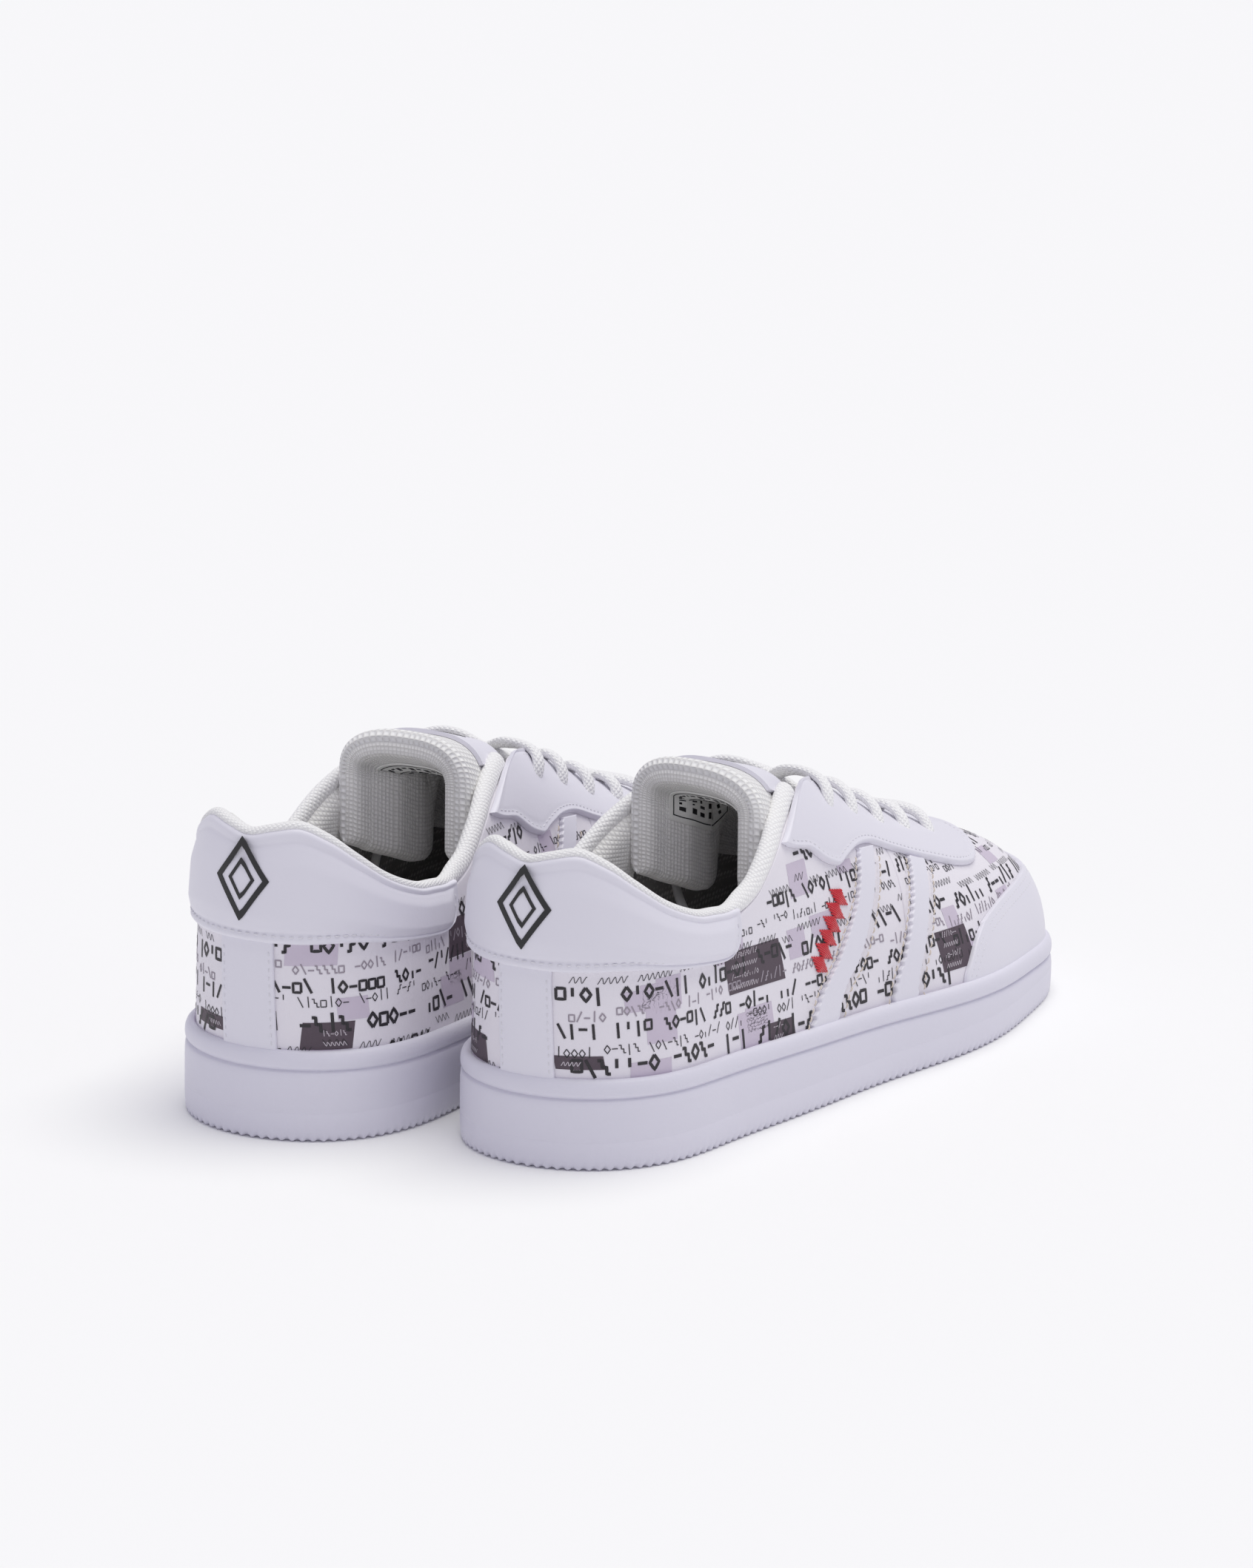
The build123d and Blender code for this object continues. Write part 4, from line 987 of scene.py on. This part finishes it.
def collar_lining():
    """Padded mesh lining of the collar: it rolls in from the edge and swells below it."""
    top = full_top(-0.2, 94)
    low = [(a, angle_at(a, root(a))) for a, _ in top]
    f, g = ticks(160, 0.01), np.concatenate([np.linspace(0, 0.8, 24), np.linspace(0.82, 1, 20)])
    where = coons(low, top, *ends(low, top), f, g)
    arc, angle = where[..., 0], where[..., 1]
    height = surface(arc, angle)[..., 2]
    drop = height[:, -1:] - height
    rolled = np.sqrt(np.clip(1 - (1 - np.clip(drop / 6.0, 0, 1)) ** 2, 0, 1))
    swell = np.sin(math.pi * np.clip(drop / 44, 0, 1) ** 0.7) ** 1.2
    inside = -1.8 - 4.4 * rolled - 2.4 * swell
    inner, outer = layer(arc, angle, inside)[0], layer(arc, angle, inside + 0.9)[0]
    flat = np.stack([arc, skin.girth(arc, angle)], -1)
    put("collar_lining", closed_panel(outer, inner, flat), FINE_MESH, ["collar_lining"], padded=0.7)


# ---------------------------------------------------------------- tongue
HOOD_X = [86, 89, 95, 103, 112, 120, 130]
HOOD_TOP = [98.9, 98.4, 96.4, 93.8, 90.7, 88.0, 84.4]
HOOD_FOOT = [62.5, 62.0, 59.5, 56.3, 52.6, 50.0, 48.0]
HOOD_LATERAL = [25.2, 25.0, 24.0, 21.0, 18.4, 17.5, 17.0]
HOOD_MEDIAL = [18.9, 18.8, 18.2, 16.2, 14.6, 14.0, 13.5]
FOLLOW_X = (114.0, 130.0)                   # the hood turns into the part under the facings here
TONGUE_DEPTH = 5.8                          # of that part below the outer surface
SETTLED_EDGE, SETTLED_FALL = 64.0, 16.0     # height of its long edges, and their fall to the front
TONGUE_FRONT, RIM_X, PAD = 192.0, 88.0, 7.4
PAD_X, PAD_THICK = [88, 96, 104, 113, 122, 140], [7.4, 9.0, 10.5, 9.0, 6.5, 4.4]
HOOD_GIRTH = 52.0                           # millimetres from the middle of the hood to a foot
LABEL_BOX = 97.0, 125.0, -0.62, 0.42        # x from and to, v from and to


def hood(x, v):
    """Free top of the tongue; v runs from -1 at the medial foot over 0 to 1."""
    lateral, medial, top, foot = (float(np.interp(x, HOOD_X, row)) for row in
                                  (HOOD_LATERAL, HOOD_MEDIAL, HOOD_TOP, HOOD_FOOT))
    half = np.where(v > 0, lateral, medial)
    rise = 0.36 * (lateral + medial)
    straight, arch = top - rise - foot, 0.86 * (half + rise)
    t = (1 - np.abs(v)) * (straight + arch)
    u = np.clip((t - straight) / arch, 0, 1)
    turn = HALF_PI * u ** 1.3 / (u ** 1.3 + (1 - u) ** 1.3)
    y = half * np.maximum(np.cos(turn), 0) ** 0.77
    z = foot + straight * np.clip(t / straight, 0, 1) + rise * np.sin(turn) ** 0.77
    return np.stack([np.full(v.shape, float(x)), np.where(v > 0, -y, y), z], -1)


def settled(x, v):
    """Tongue lying under the lace facings, following the foot."""
    edge = SETTLED_EDGE - SETTLED_FALL * max((x - BEND_X) / (TONGUE_FRONT - BEND_X), 0) ** 0.9
    out = np.zeros(v.shape + (3,))
    for half, pick in ((LATERAL, v > 0), (MEDIAL, v <= 0)):
        arc, low = at(half, x, edge)
        angle = low + (HALF_PI - low) * (1 - np.abs(v[pick]))
        out[pick] = layer(arc, angle, np.full(angle.shape, -TONGUE_DEPTH))[0]
    return out


def tongue_surface(x, v):
    share = ease(min(max((x - FOLLOW_X[0]) / (FOLLOW_X[1] - FOLLOW_X[0]), 0.0), 1.0))
    if share == 0:
        return hood(x, v)
    return hood(x, v) * (1 - share) + settled(x, v) * share if share < 1 else settled(x, v)


def tongue_layer(x, v, depth):
    """Row of points across the tongue at a depth (negative inwards) below its outer face."""
    low, high = np.clip(v - 0.015, -1, 1), np.clip(v + 0.015, -1, 1)
    round_it = tongue_surface(x, high) - tongue_surface(x, low)
    along_it = tongue_surface(x + 0.6, v) - tongue_surface(x - 0.6, v)
    normal = unit(np.cross(round_it, along_it), 0.0)
    return tongue_surface(x, v) + normal * np.broadcast_to(depth, v.shape)[:, None]


def pad_at(x):
    return float(np.interp(x, PAD_X, PAD_THICK))


def tongue():
    """Padded hood-shaped tongue: a closed form whose rear edge is a fat waffle roll."""
    v = np.linspace(-1, 1, 141)
    roll = np.linspace(0, math.pi, 17)[1:-1]
    roll_x = RIM_X + PAD / 2
    flat_x = np.concatenate([np.linspace(TONGUE_FRONT, 122, 26), np.linspace(120, roll_x, 32)])
    columns = [(x, 0.0) for x in flat_x]
    columns += [(RIM_X + PAD / 2 * (1 - math.sin(t)) + 0.7 * math.exp(-((t - 1.6) / 0.14) ** 2),
                 (1 - math.cos(t)) / 2) for t in roll]
    columns += [(x, 1.0) for x in np.linspace(roll_x, TONGUE_FRONT, 70)]
    edge = np.clip((1 - np.abs(v)) * HOOD_GIRTH / 4.0, 0, 1)
    edge = np.sqrt(1 - (1 - edge) ** 2)
    rows = [tongue_layer(x, v, -pad_at(x) * (0.5 + (depth - 0.5) * edge)) for x, depth in columns]
    grid = np.stack(rows, 1)
    run = distances(grid[len(v) // 2])
    uv = np.stack(np.broadcast_arrays(v[:, None] * HOOD_GIRTH, run[None]), -1) / 100
    n = len(columns)
    faces = quads(len(v), n)
    for r in range(len(v) - 1):
        faces.append([r * n + n - 1, (r + 1) * n + n - 1, (r + 1) * n, r * n])
    first_inner = len(flat_x) + len(roll) // 2
    fine = [1 if (k % (n - 1)) >= first_inner else 0 for k in range((len(v) - 1) * (n - 1))]
    put("tongue", (grid.reshape(-1, 3), faces, uv.reshape(-1, 2)), [WAFFLE, FINE_MESH],
        ["tongue_base", "tongue_flap", "tongue_foam", "tongue_lining"], bend=True, padded=0.8,
        face_material=fine + [0] * (len(v) - 1))


def tongue_piece(batch, x0, x1, v0, v1, depths, count=(20, 40), radius=0.04):
    """Thin piece lying on the tongue's outer or inner face."""
    xs, vs = x0 + (x1 - x0) * ticks(count[0], radius), v0 + (v1 - v0) * ticks(count[1], radius)
    outer, inner = (np.stack([tongue_layer(x, vs, depth(x)) for x in xs]) for depth in depths)
    plan = np.stack(np.broadcast_arrays(xs[:, None], vs[None] * HOOD_GIRTH), -1)
    batch.add(*closed_panel(outer, inner, plan))


def tongue_trim():
    """Smooth front patch with a small emblem, and inside a framed label with rows of plain marks."""
    patch, label, ink, mark_lines = Batch(), Batch(), Batch(), Batch()
    tongue_piece(patch, 100.5, 119.0, -0.36, 0.36, (lambda x: 1.3, lambda x: 0.1))
    put("tongue_patch", patch.shape(), WHITE_SYNTHETIC, ["tongue_patch"], bend=True)
    x0, x1, v0, v1 = LABEL_BOX
    tongue_piece(label, x0, x1, v0, v1, (lambda x: -pad_at(x) - 0.1, lambda x: -pad_at(x) - 0.5))
    put("tongue_label", label.shape(), LABEL, ["tongue_label"], bend=True)
    inside = (lambda x: -pad_at(x) - 0.45, lambda x: -pad_at(x) - 0.6)
    lines = [(x0 + 1, x1 - 1, v0 + 0.03, v0 + 0.037), (x0 + 1, x1 - 1, v1 - 0.037, v1 - 0.03),
             (x0 + 1, x0 + 1.3, v0 + 0.03, v1 - 0.03), (x1 - 1.3, x1 - 1, v0 + 0.03, v1 - 0.03)]
    for box in lines:
        tongue_piece(ink, *box, inside, (12, 24))
    for row in range(6):
        v = v0 + 0.07
        while v < v1 - 0.1:
            wide = random.uniform(0.014, 0.04)
            x = x0 + 3.0 + 4.0 * row
            tongue_piece(ink, x, x + random.choice((0.9, 2.2)), v, v + wide, inside, (4, 4))
            v += wide + 0.022
    put("tongue_label_print", ink.shape(), BLACK, bend=True)
    for x in (106.0, 110.0):
        tongue_piece(mark_lines, x, x + 1.0, -0.09, 0.05, (lambda x: 1.45, lambda x: 1.25), (4, 8))
    put("tongue_mark", mark_lines.shape(), BLACK, bend=True)


# ---------------------------------------------------------------- laces
LACE_OVER, LACE_UNDER = 3.0, -4.4
LACE_WIDE, LACE_THICK = 2.5, 1.45


def spot(half, x, width, offset):
    return layer(*across(half, x, width), float(offset))


def ridge_spot(x, rise):
    return np.array([x, 0.0, float(ridge(x)) + rise]), np.array([0.0, 0.0, 1.0])


def crossing(i, start, end, raised):
    low, high = EYELET_X[i + 1], EYELET_X[i]
    mid = (low + high) / 2
    return [spot(start, low - 1.2, EYELET_Y[i + 1] - 4.5, LACE_UNDER),
            spot(start, low - 4.5, 10.5, LACE_UNDER + 0.6), ridge_spot(mid, -1.8 if raised else -4.0),
            spot(end, mid - 3.0, 8.5, -0.4), spot(end, high + 2.5, throat_half(high) + 1.5, LACE_OVER),
            spot(end, high + 1.2, EYELET_Y[i] - 4.0, LACE_OVER - 0.1),
            spot(end, high, EYELET_Y[i], -0.8)]


def lace_legs():
    x, y = EYELET_X[4], EYELET_Y[4]
    legs = [[spot(LATERAL, x, y, -0.8), spot(LATERAL, x, y - 4.5, LACE_OVER), ridge_spot(x, 2.6),
             spot(MEDIAL, x, y - 4.5, LACE_OVER), spot(MEDIAL, x, y, -0.8)]]
    for first in (LATERAL, MEDIAL):
        here = first
        for i in (3, 2, 1, 0):
            there = MEDIAL if here is LATERAL else LATERAL
            legs.append([spot(here, EYELET_X[i + 1], EYELET_Y[i + 1], -0.8)]
                        + crossing(i, here, there, here is LATERAL))
            here = there
        legs.append([spot(here, EYELET_X[0], EYELET_Y[0], -0.8),
                     spot(here, EYELET_X[0] - 1.5, EYELET_Y[0] + 3.5, LACE_UNDER)])
    return legs


def lace():
    batch = Batch()
    for leg in lace_legs():
        path, up = (np.array(rows) for rows in zip(*leg))
        tube_rings(batch, path, up, LACE_WIDE, LACE_THICK, 0.7, 20)
    put("lace", batch.shape(), BRAID, ["lace"])


LATERAL_TAIL = [(124.6, -25.6, 68.7), (118, -27.2, 59.0), (108, -25, 44), (98, -14, 27.5),
                (82, -7, 25.0), (64, -8, 25.4), (50, -5, 25.6)]
MEDIAL_TAIL = [(124.5, 19.3, 68.8), (119.5, 21.4, 59.5), (114, 17.5, 50.5), (108, 9.5, 45.0),
               (102, 3.5, 33.0), (94, 2.5, 25.5), (82, 7.0, 25.0), (70, 12, 25.2), (58, 12, 25.6)]
TAIL_DIAMETER = 0.0026


def tail_curve(name, points):
    data = bpy.data.curves.new(name, "CURVE")
    data.dimensions, data.bevel_depth, data.bevel_resolution = "3D", TAIL_DIAMETER / 2, 4
    data.use_fill_caps = True
    line = data.splines.new("NURBS")
    line.points.add(len(points) - 1)
    for knot, p in zip(line.points, points):
        knot.co = (*p, 1)
    line.order_u, line.use_endpoint_u, line.resolution_u = 3, True, 16
    data.materials.append(BRAID)
    return new_object(name, data)


def lace_tails():
    """Loose lace ends inside each shoe, tipped with film tags."""
    for side in SIDES:
        tags, tails = Batch(), []
        for label, route in (("outer", LATERAL_TAIL), ("inner", MEDIAL_TAIL)):
            points = to_world(route, side)
            obj = tail_curve("%s_lace_tail_%s" % (side, label), points)
            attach(obj, side + "_shoe")
            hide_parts(side + "_lace_tails")
            tails.append((obj, points))
            a, b = np.array(route[-2], float), np.array(route[-1], float)
            way = (b - a) / np.linalg.norm(b - a)
            path = np.array([b - way * 0.5, b + way * 5, b + way * 10, b + way * 14])
            tube_rings(tags, path, np.tile([0.0, 0, 1], (4, 1)), 1.5, 1.5, 1.0, 14)
        points, faces, uv = tags.shape()
        tag = add_mesh("aglets_look", side, points, faces, AGLET, uv)
        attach(tag, side + "_shoe")
        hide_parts(side + "_aglets")
        for obj, points in tails:
            length = tail_length(obj)


def tail_length(obj):
    bare = obj.data.copy()
    bare.bevel_depth = 0
    ghost = bpy.data.objects.new("ghost", bare)
    mesh = bpy.data.meshes.new_from_object(ghost)
    places = [v.co for v in mesh.vertices]
    return sum((b - a).length for a, b in zip(places, places[1:]))


# ---------------------------------------------------------------- print on the upper
MAUVE_SLOT, PLUM_SLOT, GREY_SLOT, INK_SLOT, PALE_SLOT = range(5)
PRINT_INKS = [MAUVE_INK, PLUM_INK, GREY_INK, INK, PALE_INK]
PRINT_OFFSET = [0.05, 0.08, 0.11, 0.12, 0.13]


class Print:
    """Flat marks in (arc, girth), laid on the outer surface."""

    def __init__(self, allowed):
        self.batch, self.allowed = Batch(), allowed

    def lay(self, flat, faces, slot):
        flat = np.asarray(flat, float)
        if not self.allowed(flat).all():
            return
        angle = skin.angle(flat[:, 0], flat[:, 1])
        points = layer(flat[:, 0], angle, np.full(len(flat), PRINT_OFFSET[slot]))[0]
        self.batch.add(points, faces, slot=slot)

    def patch(self, arc, girth, wide, high, slot, slant=0.0):
        """Rectangle of ink, laid as small tiles so that its edge can be ragged."""
        nu, nv = max(int(wide / 1.5), 2), max(int(high / 1.5), 2)
        for i in range(nu):
            for j in range(nv):
                a0, a1 = wide * i / nu, wide * (i + 1) / nu
                g0, g1 = high * j / nv, high * (j + 1) / nv
                corners = (a0, g0), (a1, g0), (a1, g1), (a0, g1)
                tile = [(arc + a + g * slant, girth + g) for a, g in corners]
                self.lay(tile, [[0, 1, 2, 3]], slot)

    def stroke(self, line, width, slot):
        line = np.asarray(line, float)
        way = unit(np.gradient(line, axis=0))
        side = np.stack([-way[:, 1], way[:, 0]], -1) * width / 2
        n = len(line)
        faces = [[k, k + 1, n + k + 1, n + k] for k in range(n - 1)]
        self.lay(np.concatenate([line - side, line + side]), faces, slot)


MARKS = [  # corners of plain geometric marks in a unit cell
    [(0.30, 0.00), (0.35, 0.95)],                                                 # bar
    [(0.36, 0.00), (0.66, 0.36), (0.36, 0.72), (0.06, 0.36), (0.36, 0.00)],       # diamond
    [(0.08, 0.04), (0.62, 0.04), (0.62, 0.60), (0.08, 0.60), (0.08, 0.04)],       # square
    [(0.00, 0.05), (0.25, 0.05), (0.25, 0.38), (0.50, 0.38), (0.50, 0.72), (0.72, 0.72)],  # steps
    [(0.05, 0.33), (0.65, 0.33)],                                                 # dash
    [(0.10, 0.00), (0.60, 0.90)],                                                 # slash
    [(0.32, 0.00), (0.32, 0.45)]]                                                 # short bar


def mark():
    """A random geometric mark as one finely divided line."""
    corners = np.array(random.choice(MARKS))
    at_corner = np.arange(len(corners))
    t = np.linspace(0, len(corners) - 1, 4 * (len(corners) - 1) + 1)
    return np.column_stack([np.interp(t, at_corner, corners[:, k]) for k in (0, 1)])


def word(sheet, arc, girth, high, count, width, slot, cursive=False, turn=1.0):
    """Group of geometric marks; cursive groups are one plain wave."""
    if cursive:
        t = np.linspace(0, count * 2 * math.pi, count * 12)
        x = t / (2 * math.pi) * high * 0.62
        y = high * (0.35 - 0.3 * np.cos(t))
        line = np.column_stack([arc + x + y * 0.25, girth + y * turn])
        for k in range(0, len(line) - 7, 6):
            sheet.stroke(line[k:k + 7], width, slot)
        return count * high * 0.62
    for k in range(count):
        line = mark()
        place = np.column_stack([arc + (k * 0.74 + line[:, 0]) * high * 0.85,
                                 girth + (0.5 + (line[:, 1] - 0.5) * turn) * high])
        sheet.stroke(place, width, slot)
    return count * high * 0.74 * 0.85


ROWS = [(3.0, "thin"), (5.0, "bold"), (3.2, "cursive"), (6.0, "bold"), (3.4, "thin"), (4.8, "bold"),
        (3.4, "grey"), (5.6, "bold"), (3.0, "cursive")]       # height and style of each row
STROKE_WIDTH = {"thin": 0.3, "cursive": 0.2, "grey": 0.42}    # a bold stroke's goes with its height


def collage(sheet, first, last, top, dark):
    """Rows of marks between two arcs, over pale patches and the given dark ones."""
    for _ in range(int((last - first) * top / 800)):
        wide, high = random.uniform(7, 15), random.uniform(6, 12)
        sheet.patch(random.uniform(first, last - 8), random.uniform(0, top - 8), wide, high,
                    MAUVE_SLOT, random.uniform(-0.1, 0.1))
    for arc, girth, wide, high in dark:
        sheet.patch(arc, girth, wide, high, PLUM_SLOT, -0.15)
        for k in range(int(high / 3)):
            word(sheet, arc + 1.5, girth + 1 + k * 3.0, 1.9, int(wide / 2.1) - 1, 0.22, PALE_SLOT,
                 k % 2 == 0)
    girth, k = 1.2, random.randrange(4)
    while girth < top:
        high, style = ROWS[k % len(ROWS)]
        arc = first + random.uniform(0, 5)
        while arc < last:
            count = random.randint(3, 7)
            slot = GREY_SLOT if style == "grey" else INK_SLOT
            width = STROKE_WIDTH.get(style, 0.16 * high)
            tilt = random.uniform(-0.5, 0.5)
            arc += word(sheet, arc, girth + tilt, high, count, width, slot, style == "cursive",
                        random.choice((1.0, -1.0))) + high * 0.8
        girth += high + 1.0
        k += 1


PLUM_PATCHES = {  # arc, girth, width and height of the dark patches
    "lateral": [(72, 22, 27, 12), (9, 8.5, 14, 4), (90, 4.5, 12, 6)],
    "medial": [(-95, 24, 22, 11), (-30, 6, 15, 8), (-140, 14, 18, 9)],
    "vamp_lateral": [(175, 10, 17, 12)], "vamp_medial": [(-200, 14, 17, 11)]}


def side_print(half):
    """Print on one quarter, behind the seam to the vamp."""
    def allowed(flat):
        x, _, z = skin.place(flat)
        roof = np.where(x < 112, topline(np.clip(x, 3, 112)) - PANEL_DROP - 1.0, 66.0)
        return (z > upper_base(x) + 1.0) & (z < roof) & (x < 144 + np.clip(z - 20, 0, 40) * 0.1)
    sheet = Print(allowed)
    length = abs(side_arc(half, 150))
    if half is LATERAL:
        collage(sheet, 9.0, length, 62, PLUM_PATCHES["lateral"])
    else:
        collage(sheet, -length, -9.0, 62, PLUM_PATCHES["medial"])
    return sheet.batch


def vamp_print():
    def allowed(flat):
        x, y, z = skin.place(flat)
        seam = 146 + np.clip(z - 20, 0, 40) * 0.1
        clear = (x > 200) | (np.abs(y) > 13)
        return (x > seam) & (z > upper_base(x) + 1.0) & clear & (flat[:, 1] < 88)
    sheet = Print(allowed)
    lateral, medial = side_arc(LATERAL, 140), side_arc(MEDIAL, 140)
    collage(sheet, lateral, LATERAL.length - 8, 66, PLUM_PATCHES["vamp_lateral"])
    collage(sheet, -MEDIAL.length + 8, medial, 66, PLUM_PATCHES["vamp_medial"])
    return sheet.batch


def printing():
    for name, batch in (("print_lateral", side_print(LATERAL)), ("print_medial", side_print(MEDIAL)),
                        ("print_vamp", vamp_print())):
        put(name, batch.shape(), PRINT_INKS, face_material=batch.slots)


# ---------------------------------------------------------------- hidden pieces
def dotted(name, color, dots, scale):
    """Dark cloth with paler dots."""
    material, tree, shader = new_material(name, color, 0.85)
    place = coordinates(tree, "Object")
    cells = add_node(tree, "ShaderNodeTexVoronoi", Vector=place, Scale=scale, Randomness=0.2)
    two_colors(tree, shader, cells.outputs["Distance"], (0.25, dots), (0.45, color))
    return material


HIDDEN = {"midsole_wedge": grained("midsole_foam_look", (0.85, 0.84, 0.80), 0.8, 800, 0.0002),
          "insole_board": grained("board_look", (0.66, 0.60, 0.50), 0.8, 500, 0.0001),
          "heel_counter": grained("counter_look", (0.78, 0.78, 0.74), 0.5, 300, 0.00005),
          "toe_puff": grained("puff_look", (0.78, 0.78, 0.74), 0.6, 300, 0.00005),
          "collar_foam": grained("foam_look", (0.84, 0.82, 0.76), 0.9, 1200, 0.0003, 0.2),
          "vamp_lining": dotted("lining_look", (0.38, 0.37, 0.37), (0.60, 0.59, 0.58), 560)}


def show_hidden():
    for side in SIDES:
        for name, material in HIDDEN.items():
            obj = bpy.data.objects[side + "_" + name]
            obj.data.materials.clear()
            obj.data.materials.append(material)


# ---------------------------------------------------------------- studio
FLOOR_SIZE, SKY, SKY_STRENGTH = 30, (0.88, 0.87, 1.0, 1), 0.52
SUN_STRENGTH, SUN_ANGLE, SUN_COLOR = 1.78, 0.85, (1.0, 1.0, 0.92)
SUN_WAY = Vector((-0.14, 0.14, -1.0))


def studio():
    """Flat white floor under a broad soft light from above and a dim pale sky."""
    floor_material, _, shader = new_material("studio_floor", (0.93, 0.93, 0.93), 0.9)
    shader.inputs["Specular IOR Level"].default_value = 0.1
    mesh = bpy.data.meshes.new("studio_floor")
    corners = [(x * FLOOR_SIZE, y * FLOOR_SIZE, 0) for x, y in ((-1, -1), (1, -1), (1, 1), (-1, 1))]
    mesh.from_pydata(corners, [], [(0, 1, 2, 3)])
    mesh.materials.append(floor_material)
    new_object("studio_floor", mesh)
    world = bpy.data.worlds.new("studio")
    bpy.context.scene.world = world
    world.use_nodes = True
    sky = world.node_tree.nodes["Background"]
    sky.inputs["Color"].default_value, sky.inputs["Strength"].default_value = SKY, SKY_STRENGTH
    data = bpy.data.lights.new("overhead", "SUN")
    data.energy, data.angle, data.color = SUN_STRENGTH, SUN_ANGLE, SUN_COLOR
    lamp = new_object("overhead", data)
    lamp.rotation_euler = SUN_WAY.to_track_quat("-Z", "Y").to_euler()
    bpy.context.scene.view_settings.view_transform = "Standard"


def build():
    aim_camera()
    lace_tails()
    cupsole()
    sockliner()
    upper_panels()
    thread, beige = Batch(), Batch()
    heel_patch(thread)
    back_stay(thread)
    lace_facing(thread)
    toe_cap(thread)
    stripes(LATERAL, "stripes_lateral", beige)
    stripes(MEDIAL, "stripes_medial", beige)
    put("stitching", thread.shape(), THREAD_WITH_PAINTED_SHADE)
    put("stripe_stitching", beige.shape(), BEIGE_THREAD)
    emblem()
    side_mark()
    collar_binding()
    collar_lining()
    tongue()
    tongue_trim()
    lace()
    printing()
    show_hidden()
    studio()


build()
